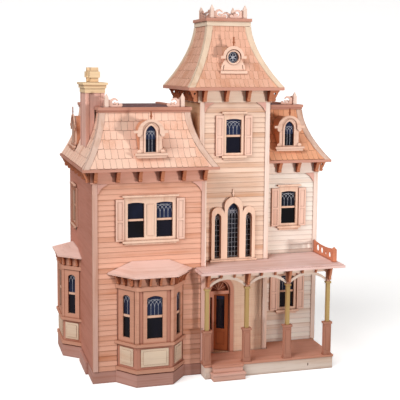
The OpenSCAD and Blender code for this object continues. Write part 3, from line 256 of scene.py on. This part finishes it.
def shingle_wood(name, tone):
    """Thin shingles, each its own tone, grain up the slope."""
    g = Graph(name)
    island = g.add("ShaderNodeNewGeometry").outputs["Random Per Island"]
    fibres = g.noise((420, 420, 18), 3, 0.6)
    patches = g.noise((9, 9, 9), 3, 0.5)
    mixed = g.math("ADD", g.math("MULTIPLY", island, 0.22), g.math("MULTIPLY", patches, 0.78))
    mixed = g.math("ADD", mixed, g.math("MULTIPLY", g.math("SUBTRACT", fibres, 0.5), 0.4))
    light, middle, dark = shades(tone)
    colour = g.ramp(g.spread(mixed, 0.15, 0.85), [(0.0, light), (0.5, middle), (1.0, dark)])
    # Painted shade in crevices
    g.surface(g.crevice_shade(colour, 0.4), g.spread(fibres, 0.3, 0.7, 0.55, 0.72), WOOD_SHINE)
    g.bump(fibres, 0.0003, 0.7)
    return g.material


def glazing(name):
    """Glossy sheet painted dark for the shade of the rooms behind: bluer in the upper sashes as a painted
    reflection, nearly black in the lower ones.
    """
    g = Graph(name)
    cloud = g.spread(g.noise((9, 9, 5), 2, 0.5, 0.4), 0.35, 0.65)
    low = g.ramp(cloud, [(0.0, linear((8, 8, 13))), (1.0, linear((20, 21, 36)))])
    # Painted reflection: the upper sashes are bluer
    high = g.ramp(cloud, [(0.0, linear((16, 21, 38))), (1.0, linear((38, 47, 78)))])
    z = g.add("ShaderNodeSeparateXYZ", {0: g.coords}).outputs[Z]
    upper = 0.0
    for start, end in UPPER_SASHES:
        inside = g.math("MULTIPLY", g.math("GREATER_THAN", z, start), g.math("LESS_THAN", z, end))
        upper = g.math("ADD", inside, upper)
    smears = g.noise((60, 60, 30), 3, 0.6)
    g.surface(g.mix(upper, low, high), g.spread(smears, 0.3, 0.7, 0.08, 0.2), 0.4)
    g.bump(smears, 0.0001, 0.1)
    return g.material


def metal(name, tone, rough):
    """Plain metal with fine scuffs; rough is its smoothest stretch."""
    g = Graph(name)
    scuffs = g.noise((900, 900, 260), 3, 0.6)
    light = linear(tone)
    g.surface(g.ramp(scuffs, [(0.3, dimmed(light, 0.7)), (0.7, light)]),
              g.spread(scuffs, 0.3, 0.7, rough, rough + 0.2))
    g.shader.inputs["Metallic"].default_value = 1.0
    g.bump(scuffs, 0.0001, 0.3)
    return g.material


def lead(name):
    """Pale grey lead, dull and slightly mottled."""
    g = Graph(name)
    mottle = g.noise((300, 300, 300), 2, 0.5)
    g.surface(g.ramp(mottle, [(0.3, linear((150, 154, 166))), (0.7, linear((206, 208, 214)))]),
              g.spread(mottle, 0.3, 0.7, 0.4, 0.6))
    g.bump(mottle, 0.0001, 0.3)
    return g.material


SALMON = (232, 178, 154)
PINK = (204, 150, 132)
TAN = (226, 178, 152)
CREAM = (232, 214, 202)
STRAW = (246, 216, 176)
ROOM = (224, 184, 148)
ROOF = (247, 205, 184)
WING_SHINGLES = (234, 172, 136)
TOWER_SHINGLES = (228, 178, 154)
BROWN = (164, 100, 72)


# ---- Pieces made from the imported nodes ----

def finish_mesh(bm, name, smooth_angle=36):
    for e in bm.edges:
        if len(e.link_faces) == 2:
            e.smooth = e.calc_face_angle(0.0) < math.radians(smooth_angle)
    for f in bm.faces:
        f.smooth = True
    mesh = bpy.data.meshes.new(name)
    bm.to_mesh(mesh)
    bm.free()
    piece = bpy.data.objects.new(name, mesh)
    scene.collection.objects.link(piece)
    return piece


def easing_group():
    """A modifier that shades smooth, with sharp edges where faces meet at more than 38 degrees."""
    group = bpy.data.node_groups.new("smooth_by_angle", "GeometryNodeTree")
    group.interface.new_socket("Geometry", in_out="INPUT", socket_type="NodeSocketGeometry")
    group.interface.new_socket("Geometry", in_out="OUTPUT", socket_type="NodeSocketGeometry")
    start, end = group.nodes.new("NodeGroupInput"), group.nodes.new("NodeGroupOutput")
    angle = group.nodes.new("GeometryNodeInputMeshEdgeAngle")
    limit = group.nodes.new("FunctionNodeCompare")
    limit.operation = "LESS_EQUAL"
    limit.inputs[1].default_value = math.radians(38)
    faces, edges = (group.nodes.new("GeometryNodeSetShadeSmooth") for _ in range(2))
    faces.domain, edges.domain = "FACE", "EDGE"
    group.links.new(angle.outputs[0], limit.inputs[0])
    group.links.new(start.outputs[0], faces.inputs["Geometry"])
    group.links.new(faces.outputs[0], edges.inputs["Geometry"])
    group.links.new(limit.outputs[0], edges.inputs["Shade Smooth"])
    group.links.new(edges.outputs[0], end.inputs[0])
    return group


easing = easing_group()


def dress(node, material, bevel=0.4):
    """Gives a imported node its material, and modifiers that weld it and ease its edges by bevel mm."""
    piece = nodes[node]
    if not piece.material_slots:
        piece.data.materials.append(None)
    for slot in piece.material_slots:
        slot.material = material
    weld = piece.modifiers.new("weld", "WELD")
    weld.merge_threshold = SAME_POINT
    flat = piece.modifiers.new("flat", "DECIMATE")
    flat.decimate_type = "DISSOLVE"
    flat.angle_limit = math.radians(0.4)
    if bevel:
        eased = piece.modifiers.new("eased", "BEVEL")
        eased.width, eased.segments = bevel * MM, 2
        eased.limit_method, eased.angle_limit = "ANGLE", math.radians(40)
        eased.profile = 0.6
    piece.modifiers.new("smooth", "NODES").node_group = easing
    even = piece.modifiers.new("even", "WEIGHTED_NORMAL")
    even.keep_sharp = True


def add_piece(bm, name, material, body="house", smooth_angle=36):
    bmesh.ops.recalc_face_normals(bm, faces=bm.faces)
    piece = finish_mesh(bm, name, smooth_angle)
    piece.data.materials.append(material)
    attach(piece, body)
    return piece


# Clapboards: the foot of the lowest one and the height of each
SIDING_FOOT, TOWER_SIDING_FOOT = 36 * MM, 326.2 * MM
MAIN_LAP, TOWER_LAP = 544 / 36 * MM, 478.8 / 32 * MM
main_laps = dict(axis="x", lap=MAIN_LAP, lap_from=SIDING_FOOT)
tower_laps = dict(axis="x", lap=TOWER_LAP, lap_from=TOWER_SIDING_FOOT)

# Where the wood of one node changes tone, in metres; FAR is beyond the house
FAR = 2
DECK_TOP = 42 * MM
POST_FOOT, POST_HEAD = DECK_TOP + 0.1025, 0.269
TOWER_LEFT, WING_LEFT = -0.0215, 0.197
TOWER_FRIEZE, TOWER_HIPS = 0.75, 0.83
FINIALS = ((0.762, 0.85), (0.972, 1.1))
CORNICE_STRIP = (1.03, 1.0459)
STEPS_BACK, FRETWORK_BACK = -0.236, -0.2287
ENTRY_LATTICE = (-0.118, -0.110)
BASE_KNOT = (0.294, 0.018)

# edges darkens the sideways faces of a board: partly scorched end grain, partly painted shade
boards = {
    "level pink": wood("level_pink", PINK),
    "bay trim": wood("bay_trim", (214, 160, 136), edges=0.25),
    "upright tan": wood("upright_tan", TAN, axis="z"),
    "upright cream": wood("upright_cream", (240, 212, 198), axis="z"),
    "floor": wood("floor_boards", ROOM, axis="x"),
    "room": wood("room_walls", ROOM),
    # Brackets: the darker tone is painted shade from under the eaves; the dark sides are partly that
    # shade, partly scorched end grain
    "bracket": wood("bracket_wood", (196, 128, 96), axis="z", edges=0.85, burn_and_shade=(140, 66, 34)),
    "straw": wood("straw", STRAW),
    "bay wall": wood("bay_wall", (200, 142, 122), axis="z"),
    "dormer": wood("dormer_wood", (242, 206, 186), edges=0.7, burn_and_shade=(190, 112, 74),
                   changes=[(Z, *span, BROWN) for span in FINIALS]),
}
# edges darkens the sideways faces of a board: partly scorched end grain, partly painted shade
finishes = {
    "main_siding": (wood("main_clapboards", SALMON, contrast=1.15, **main_laps), 0),
    "tower_siding": (wood("tower_clapboards", (236, 206, 186), contrast=1.15, **tower_laps), 0),
    "wing_siding": (wood("wing_clapboards", (246, 234, 224), contrast=0.9, **main_laps), 0),
    "foundation": wood("base_boards", (196, 150, 138), axis="level"),
    "left_side_wall": wood("left_wall", (196, 132, 114), axis="y"),
    "right_side_wall": wood("right_wall", CREAM, axis="y", contrast=0.6),
    "tower_front_wall": wood("entry_wall", (244, 210, 184), scored=7.5 * MM),
    "flat_roofs": wood("flat_roof_boards", (120, 90, 92), axis="x"),
    "corner_boards": wood("corner_wood", (224, 184, 170), axis="z",
                          changes=[(X, TOWER_LEFT, FAR, (244, 222, 210))]),
    "friezes": wood("frieze_wood", (224, 168, 148),
                    changes=[(X, WING_LEFT, FAR, (244, 226, 214)),
                             (Z, TOWER_FRIEZE, FAR, (240, 216, 196))]),
    "spandrels": wood("gusset_wood", (226, 176, 162)),
    "roof_cornices": wood("cornice_wood", PINK, changes=[(Z, *CORNICE_STRIP, (236, 216, 194))]),
    "bay_panels": wood("bay_panels", (236, 214, 190), edges=0.3),
    "bay_roofs": wood("bay_roof_boards", (244, 206, 194)),
    "porch_deck": wood("deck_boards", (212, 154, 132), axis="x"),
    "porch_roof": wood("porch_roof_boards", (240, 208, 202), axis="x"),
    "porch_base": wood("porch_base_boards", (236, 220, 208),
                       changes=[(Y, -FAR, STEPS_BACK, (232, 186, 170))], knot=BASE_KNOT),
    "porch_posts": wood("post_wood", (190, 162, 110), axis="z", contrast=0.8,
                        changes=[(Z, 0, POST_FOOT, (186, 132, 112)),
                                 (Z, POST_HEAD, FAR, (206, 160, 136))]),
    "porch_frieze": wood("porch_frieze_wood", (246, 228, 214), edges=0.5,
                         changes=[(Y, -FAR, FRETWORK_BACK, (204, 136, 104))]),
    "porch_rail": wood("porch_rail_wood", (206, 132, 102)),
    "hip_boards": wood("hip_boards", (222, 192, 176), axis="z",
                       changes=[(Z, TOWER_HIPS, FAR, (228, 204, 180))]),
    "front_door": wood("door_wood", (172, 96, 60), axis="z"),
    "door_frames": wood("entry_frame_wood", (212, 152, 130), axis="z",
                        changes=[(Y, *ENTRY_LATTICE, (150, 88, 66))]),
    "shutters": wood("shutter_wood", (242, 202, 184), axis="z", edges=0.8),
    "window_casings": wood("casing_wood", (244, 208, 186), axis="z", edges=0.8),
    "window_sashes": wood("sash_wood", (232, 192, 168)),
    "chimney_shaft": wood("chimney_wood", (238, 190, 176), axis="z"),
    "crest_scrolls": wood("crest_scroll_wood", (240, 204, 190), edges=0.35),
    "dormer_cases": wood("dormer_case_wood", (216, 152, 120), axis="y"),
    "main_roof": (wood("main_slopes", ROOF, axis="z"), 0.3),
    "wing_roof": (wood("wing_slopes", (232, 170, 134), axis="z"), 0.3),
    "tower_roof": (wood("tower_slopes", (228, 176, 146), axis="z"), 0.3),
    "window_glass": (glazing("panes"), 0),
    "front_door_glass": (glazing("door_pane"), 0),
    "front_door_knob": (metal("knob_brass", (214, 170, 96), 0.25), 0),
    "door_pins": (metal("pin_steel", (170, 170, 176), 0.35), 0),
}
for kind, names in {
    "floor": "ground_floor second_floor attic_floor tower_ceiling staircases",
    "room": "main_front_wall left_partition right_partition tower_back_wall wing_front_wall",
    "level pink": "eaves",
    "bay trim": "bay_mouldings",
    "bracket": "eave_brackets bay_brackets",
    "upright tan": "parlour_door bedroom_door",
    "upright cream": "crest_posts fireplace",
    "straw": "chimney_cap chimney_pots",
    "bay wall": "front_bay_walls side_bay_walls",
    "dormer": "dormer_fronts dormer_trims",
}.items():
    for name in names.split():
        finishes[name] = boards[kind]
for name in nodes:
    finish = finishes[name]
    dress(name, *(finish if isinstance(finish, tuple) else (finish,)))


# ---- Shingles ----

EXPOSURE = 25 * MM
FROM = {"front": (0, 1, 0), "left": (1, 0, 0), "right": (-1, 0, 0), "back": (0, -1, 0)}


def tree_of(*names):
    verts, faces = [], []
    for name in names:
        mesh = nodes[name].data
        base = len(verts)
        verts += [v.co.copy() for v in mesh.vertices]
        faces += [[base + i for i in p.vertices] for p in mesh.polygons]
    return BVHTree.FromPolygons(verts, faces)


def shingles(name, roof, inward, tone, pitch=19, lift=1.3):
    """Rows of clipped shingles over the slope of roof whose outside is met when going inward.
    pitch is a shingle's usual width and lift how far its butt stands off, both in mm."""
    slope, covers = tree_of(roof), tree_of("hip_boards")
    hidden = tree_of("dormer_fronts", "dormer_cases", "dormer_trims", "chimney_shaft")
    inward = Vector(inward)
    across = inward.cross(Vector((0, 0, 1)))
    lo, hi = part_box(roof)
    centre = (lo + hi) / 2
    reach = (hi - lo).length

    def start(u, z):
        p = centre + across * (u - centre.dot(across))
        return Vector((p.x, p.y, z)) - inward * reach

    def surface(u, z):
        at, normal, _, _ = slope.ray_cast(start(u, z), inward)
        if at is None or normal.dot(inward) > -0.3 or (at - centre).dot(inward) > 0:
            return None
        return at, normal

    def covered(u, z, tree):
        hit = tree.ray_cast(start(u, z), inward)[0]
        own = surface(u, z)
        return hit is not None and own is not None and (hit - own[0]).dot(inward) < 0

    ends = sorted((lo.dot(across), hi.dot(across)))

    def span(z):
        step = 1.5 * MM
        found = [u for u in (ends[0] + i * step for i in range(int((ends[1] - ends[0]) / step)))
                 if surface(u, z) and not covered(u, z, covers)]
        return (min(found) - 2 * MM, max(found) + 2 * MM) if found else None

    bm = bmesh.new()
    top, foot = hi.z - 6 * MM, lo.z + 0.5 * MM
    rows = round((top - foot) / EXPOSURE)
    step = (top - foot) / rows
    for row in range(rows):
        z0, z1 = foot + row * step, foot + (row + 1) * step
        low, high = span(z0 + 0.5 * MM), span(min(z1, top - 0.5 * MM))
        if not low or not high:
            continue
        u = low[0] - (row % 2) * pitch * MM / 2
        while u < low[1]:
            wide = pitch * MM * rng.uniform(0.86, 1.14)
            a, b = max(u, low[0]), min(u + wide, low[1])
            c, d = max(u, high[0]), min(u + wide, high[1])
            u += wide
            if b - a < 3 * MM or d - c < 1 * MM:
                continue
            mid = (a + b) / 2
            if all(covered(k, (z0 + z1) / 2, hidden) for k in (a, mid, b)):
                continue
            clip = min(2.2 * MM, (b - a) / 4)
            butt = z0 + rng.uniform(-0.8, 0.8) * MM * (row > 0)
            gap = 0.35 * MM
            outline = [(a + gap, butt + clip), (a + gap + clip, butt), (b - gap - clip, butt),
                       (b - gap, butt + clip), (d - gap, z1), (c + gap, z1)]
            raised = lift * MM * rng.uniform(0.85, 1.2)
            outer, inner = [], []
            for i, (x, z) in enumerate(outline):
                own = surface(min(max(x, a + gap), b - gap),
                              max(min(z, hi.z - 1 * MM), lo.z + 0.3 * MM))
                if own is None:
                    break
                at, normal = own
                at = at + across * (x - at.dot(across))
                out = 0.25 * MM if i > 3 else raised
                outer.append(bm.verts.new(at + normal * out))
                inner.append(bm.verts.new(at - normal * 0.6 * MM))
            if len(outer) < 6:
                bmesh.ops.delete(bm, geom=outer + inner, context="VERTS")
                continue
            bm.faces.new(outer)
            bm.faces.new(inner[::-1])
            # Butt and side faces take the second, darker material: painted shade lines round each shingle
            for i in range(6):
                j = (i + 1) % 6
                bm.faces.new((outer[i], inner[i], inner[j], outer[j])).material_index = 1
    piece = add_piece(bm, name, shingle_wood(name + "_faces", tone))
    # Darker material for butts and sides: painted shade lines between the shingles
    piece.data.materials.append(shingle_wood(name + "_edges", [c * 0.7 for c in tone]))


for side in ("front", "left", "right"):
    shingles(f"main_{side}_shingles", "main_roof", FROM[side], ROOF)
for side in ("front", "right"):
    shingles(f"wing_{side}_shingles", "wing_roof", FROM[side], WING_SHINGLES)
for side, inward in FROM.items():
    shingles(f"tower_{side}_shingles", "tower_roof", inward, TOWER_SHINGLES, pitch=15, lift=0.6)


# ---- Lead lines ----

def islands(node):
    """Corner points of each separate solid in a node, and the normal of its largest face."""
    bm = bmesh.new()
    bm.from_mesh(nodes[node].data)
    bmesh.ops.remove_doubles(bm, verts=bm.verts, dist=SAME_POINT)
    met, groups = set(), []
    for first in bm.verts:
        if first in met:
            continue
        met.add(first)
        todo, group = [first], []
        while todo:
            v = todo.pop()
            group.append(v)
            for e in v.link_edges:
                w = e.other_vert(v)
                if w not in met:
                    met.add(w)
                    todo.append(w)
        faces = [f for v in group for f in v.link_faces]
        big = max(faces, key=lambda f: f.calc_area())
        groups.append(([v.co.copy() for v in group], big.normal.copy()))
    bm.free()
    return groups


class Pane:
    """A pane's own axes: along its width, up, and out of the house."""

    def __init__(self, points, normal, out_from):
        self.out = Vector((normal.x, normal.y, 0)).normalized()
        middle = sum(points, Vector()) / len(points)
        if self.out.dot(middle - out_from) < 0:
            self.out = -self.out
        self.along = Vector((0, 0, 1)).cross(self.out)
        us = [p.dot(self.along) for p in points]
        zs = [p.z for p in points]
        self.u = (min(us), max(us))
        self.z = (min(zs), max(zs))
        self.face = max(p.dot(self.out) for p in points)
        self.width, self.height = self.u[1] - self.u[0], self.z[1] - self.z[0]

    def point(self, x, z, out=0.0):
        """x from the middle of the pane and z from its foot, both in metres."""
        middle = (self.u[0] + self.u[1]) / 2
        p = self.along * (middle + x) + self.out * (self.face + out)
        return Vector((p.x, p.y, self.z[0] + z))


def strip(bm, pane, path, wide=0.9):
    """A lead line wide mm across along path, a list of (x, z), on the pane's face."""
    half, rim = wide * MM / 2, 0.2 * MM
    section = ((1, -rim / 2), (1, rim * 0.6), (0, rim), (-1, rim * 0.6), (-1, -rim / 2))
    rings = []
    for i, (x, z) in enumerate(path):
        before, after = path[max(i - 1, 0)], path[min(i + 1, len(path) - 1)]
        dx, dz = after[0] - before[0], after[1] - before[1]
        size = math.hypot(dx, dz) or 1.0
        nx, nz = -dz / size * half, dx / size * half
        rings.append([bm.verts.new(pane.point(x + s * nx, z + s * nz, o)) for s, o in section])
    for a, b in zip(rings, rings[1:]):
        for k in range(5):
            bm.faces.new((a[k], a[(k + 1) % 5], b[(k + 1) % 5], b[k]))
    bm.faces.new(rings[0][::-1])
    bm.faces.new(rings[-1])


def arc(cx, cz, r, a0, a1, steps):
    """Points on a circle from a0 to a1 degrees."""
    return [(cx + r * math.cos(math.radians(a0 + (a1 - a0) * i / steps)),
             cz + r * math.sin(math.radians(a0 + (a1 - a0) * i / steps))) for i in range(steps + 1)]


def interlaced(bm, pane, x0, x1, z0, spring, bays, top):
    """Upright bars from z0 to spring, then arcs that cross from bar to bar up to top."""
    pitch = (x1 - x0) / bays
    for i in range(bays + 1):
        x = x0 + i * pitch
        if 0 < i < bays:
            strip(bm, pane, [(x, z0), (x, spring)])
        for way in (-1, 1):
            r = pitch * 2
            pts = [p for p in arc(x + way * r, spring, r, 180 if way > 0 else 0, 90, 16)
                   if x0 - 0.2 * MM <= p[0] <= x1 + 0.2 * MM and p[1] <= top]
            if len(pts) > 2:
                strip(bm, pane, pts)


FINE = 0.7


def wheel(bm, pane):
    """A ring in the middle of a round pane, with six spokes and six circles round it."""
    middle, reach, loop = pane.height / 2, 17 * MM, 7.6 * MM
    strip(bm, pane, arc(0, middle, 4.5 * MM, 0, 360, 24))
    for k in range(6):
        t = math.radians(60 * k + 30)
        strip(bm, pane, arc(loop * math.cos(t), middle + loop * math.sin(t), loop, 0, 360, 24))
        strip(bm, pane, [(0, middle), (reach * math.cos(t), middle + reach * math.sin(t))], 0.8)


def lattice(bm, pane):
    """A grid of fine bars with crossing arcs and chevrons above it."""
    broad = pane.width > 30 * MM
    x0, x1 = -pane.width / 2 + 3 * MM, pane.width / 2 - 3 * MM
    count = 4 if broad else 2
    pitch = (x1 - x0) / count
    grid_top = pane.height - (46 * MM if broad else 34 * MM)
    for i in range(1, count):
        strip(bm, pane, [(x0 + i * pitch, 0), (x0 + i * pitch, grid_top)], FINE)
    z = 6 * MM
    while z < grid_top:
        strip(bm, pane, [(x0, z), (x1, z)], FINE)
        z += pitch * 1.5 if broad else pitch * 1.6
    interlaced(bm, pane, x0, x1, grid_top, grid_top, count, pane.height - 2 * MM)
    foot = grid_top + 10 * MM
    for i in range(count + 1):
        x = x0 + i * pitch
        for way in (-1, 1):
            if x0 <= x + way * pitch <= x1:
                strip(bm, pane, [(x, foot), (x + way * pitch, foot + pitch * 1.5)], FINE)


def upper_sash(bm, pane):
    """Crossing arcs in the upper half of a sash window; the bay's sashes start higher."""
    broad, in_bay = pane.width > 40 * MM, pane.height > 115 * MM
    x0, x1 = -pane.width / 2 + 3.4 * MM, pane.width / 2 - 3.4 * MM
    bar = (67 if in_bay else 57) * MM
    spring = pane.height - (34 if broad else 26) * MM
    interlaced(bm, pane, x0, x1, bar, spring, 4 if broad else 2, pane.height - 3 * MM)


def dormer_sash(bm, pane):
    """Crossing arcs over the whole of a dormer's pane."""
    x0, x1 = -pane.width / 2 + 3 * MM, pane.width / 2 - 3 * MM
    interlaced(bm, pane, x0, x1, 2 * MM, pane.height - 36 * MM, 3, pane.height - 3 * MM)


house_middle = (cad_box[0] + cad_box[1]) / 2
pair_lo, pair_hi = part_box("main_siding")
plain_x = (pair_lo.x + pair_hi.x) / 2
bm = bmesh.new()
for points, normal in islands("window_glass"):
    pane = Pane(points, normal, Vector((house_middle.x, house_middle.y, 0)))
    is_round = abs(pane.width - pane.height) < 4 * MM and len(points) > 20
    is_lancet = pane.height > 130 * MM and len(points) < 12 and pane.z[0] > 0.3
    in_plain_pair = plain_x > pane.u[1] and pane.out.y < -0.9 and pane.z[0] > 0.4
    if pane.width < 12 * MM:
        continue
    if is_round:
        wheel(bm, pane)
    elif is_lancet:
        lattice(bm, pane)
    elif pane.height > 95 * MM and not in_plain_pair:
        upper_sash(bm, pane)
    elif pane.height < 95 * MM:
        dormer_sash(bm, pane)
add_piece(bm, "lead_lines", lead("lead"), smooth_angle=60)


# ---- Stage, light and camera ----

def backdrop():
    """Pale paper: a floor just below the house that curves up into a wall behind it."""
    near, far, bend, top, half_width = -6.0, 4.0, 1.6, 7.0, 9.0
    drop = 0.5 * MM
    bm = bmesh.new()
    profile = [(near, 0.0), (far, 0.0)]
    for degrees in range(10, 91, 10):
        a = math.radians(degrees)
        profile.append((far + bend * math.sin(a), bend - bend * math.cos(a)))
    profile.append((far + bend, top))
    rows = [[bm.verts.new((x, y, z - drop)) for y, z in profile] for x in (-half_width, half_width)]
    for i in range(len(profile) - 1):
        bm.faces.new((rows[0][i], rows[1][i], rows[1][i + 1], rows[0][i + 1]))
    bmesh.ops.recalc_face_normals(bm, faces=bm.faces)
    piece = finish_mesh(bm, "backdrop", 60)
    g = Graph("paper")
    fine = g.noise((120, 120, 120), 2, 0.5)
    paper = g.ramp(fine, [(0.3, (0.88, 0.88, 0.88)), (0.7, (0.92, 0.92, 0.92))])
    seen = g.add("ShaderNodeLightPath").outputs["Is Camera Ray"]
    g.link(g.mix(seen, (0.42, 0.38, 0.36, 1.0), paper), g.shader.inputs["Base Color"])
    g.shader.inputs["Roughness"].default_value = 0.9
    g.shader.inputs["Emission Color"].default_value = (1.0, 1.0, 1.0, 1.0)
    g.link(g.math("MULTIPLY", seen, 0.5), g.shader.inputs["Emission Strength"])
    piece.data.materials.append(g.material)


backdrop()


def lamp(name, kind, energy, colour, at, size, aim=0.5):
    """A light at a point in metres, aimed at a height above the middle of the floor. size is a sun's
    width in degrees or a spot's in metres."""
    data = bpy.data.lights.new(name, kind)
    data.energy, data.color = energy, colour
    away = Vector(at) - Vector((0, 0, aim))
    piece = bpy.data.objects.new(name, data)
    piece.rotation_mode = "QUATERNION"
    piece.rotation_quaternion = away.to_track_quat("Z", "Y")
    piece.location = at
    if kind == "SUN":
        data.angle = math.radians(size)
    else:
        data.shadow_soft_size = size / 2
        data.spot_size, data.spot_blend = math.radians(34), 1.0
    piece.visible_glossy = False
    scene.collection.objects.link(piece)


lamp("key", "SPOT", 400, (1.0, 0.97, 0.94), (2.1, -3.4, 0.45), 0.5, 0.9)
lamp("overhead", "SUN", 2.3, (1.0, 0.99, 0.98), (-2.4, -1.6, 3.0), 40)
lamp("rear", "SPOT", 460, (1.0, 0.98, 0.96), (0.9, 3.2, 1.5), 1.2)

world = bpy.data.worlds.new("studio")
scene.world = world
world.use_nodes = True
sky = world.node_tree
fill = sky.nodes["Background"]
fill.inputs[0].default_value = (1.0, 0.985, 0.97, 1.0)
fill.inputs[1].default_value = 0.2
seen, either, rays = (sky.nodes.new(kind) for kind in (
    "ShaderNodeBackground", "ShaderNodeMixShader", "ShaderNodeLightPath"))
seen.inputs[0].default_value = (1.0, 1.0, 1.0, 1.0)
sky.links.new(rays.outputs["Is Camera Ray"], either.inputs[0])
sky.links.new(fill.outputs[0], either.inputs[1])
sky.links.new(seen.outputs[0], either.inputs[2])
sky.links.new(either.outputs[0], sky.nodes["World Output"].inputs[0])

CAMERA_AT = Vector((-0.73955, -2.55199, 0.90557))
YAW, PITCH, ROLL = (math.radians(d) for d in (15.608, 6.230, 0.378))
SHIFT_X, SHIFT_Y = 0.0351, -0.096
SENSOR_MM = 36.0
FOCAL_WIDTHS = 2.141875
forward = Vector((math.sin(YAW) * math.cos(PITCH), math.cos(YAW) * math.cos(PITCH),
                  -math.sin(PITCH)))
right = Vector((math.cos(YAW), -math.sin(YAW), 0))
up = right.cross(forward)
right, up = (right * math.cos(ROLL) + up * math.sin(ROLL),
             up * math.cos(ROLL) - right * math.sin(ROLL))
camera = bpy.data.objects.new("camera", bpy.data.cameras.new("camera"))
camera.data.sensor_width = SENSOR_MM
camera.data.lens = SENSOR_MM * FOCAL_WIDTHS
camera.data.shift_x, camera.data.shift_y = SHIFT_X, SHIFT_Y
turn = Matrix((right, up, -forward)).transposed().to_4x4()
camera.matrix_world = Matrix.Translation(CAMERA_AT) @ turn
scene.collection.objects.link(camera)
scene.camera = camera
scene.view_settings.view_transform = "Standard"
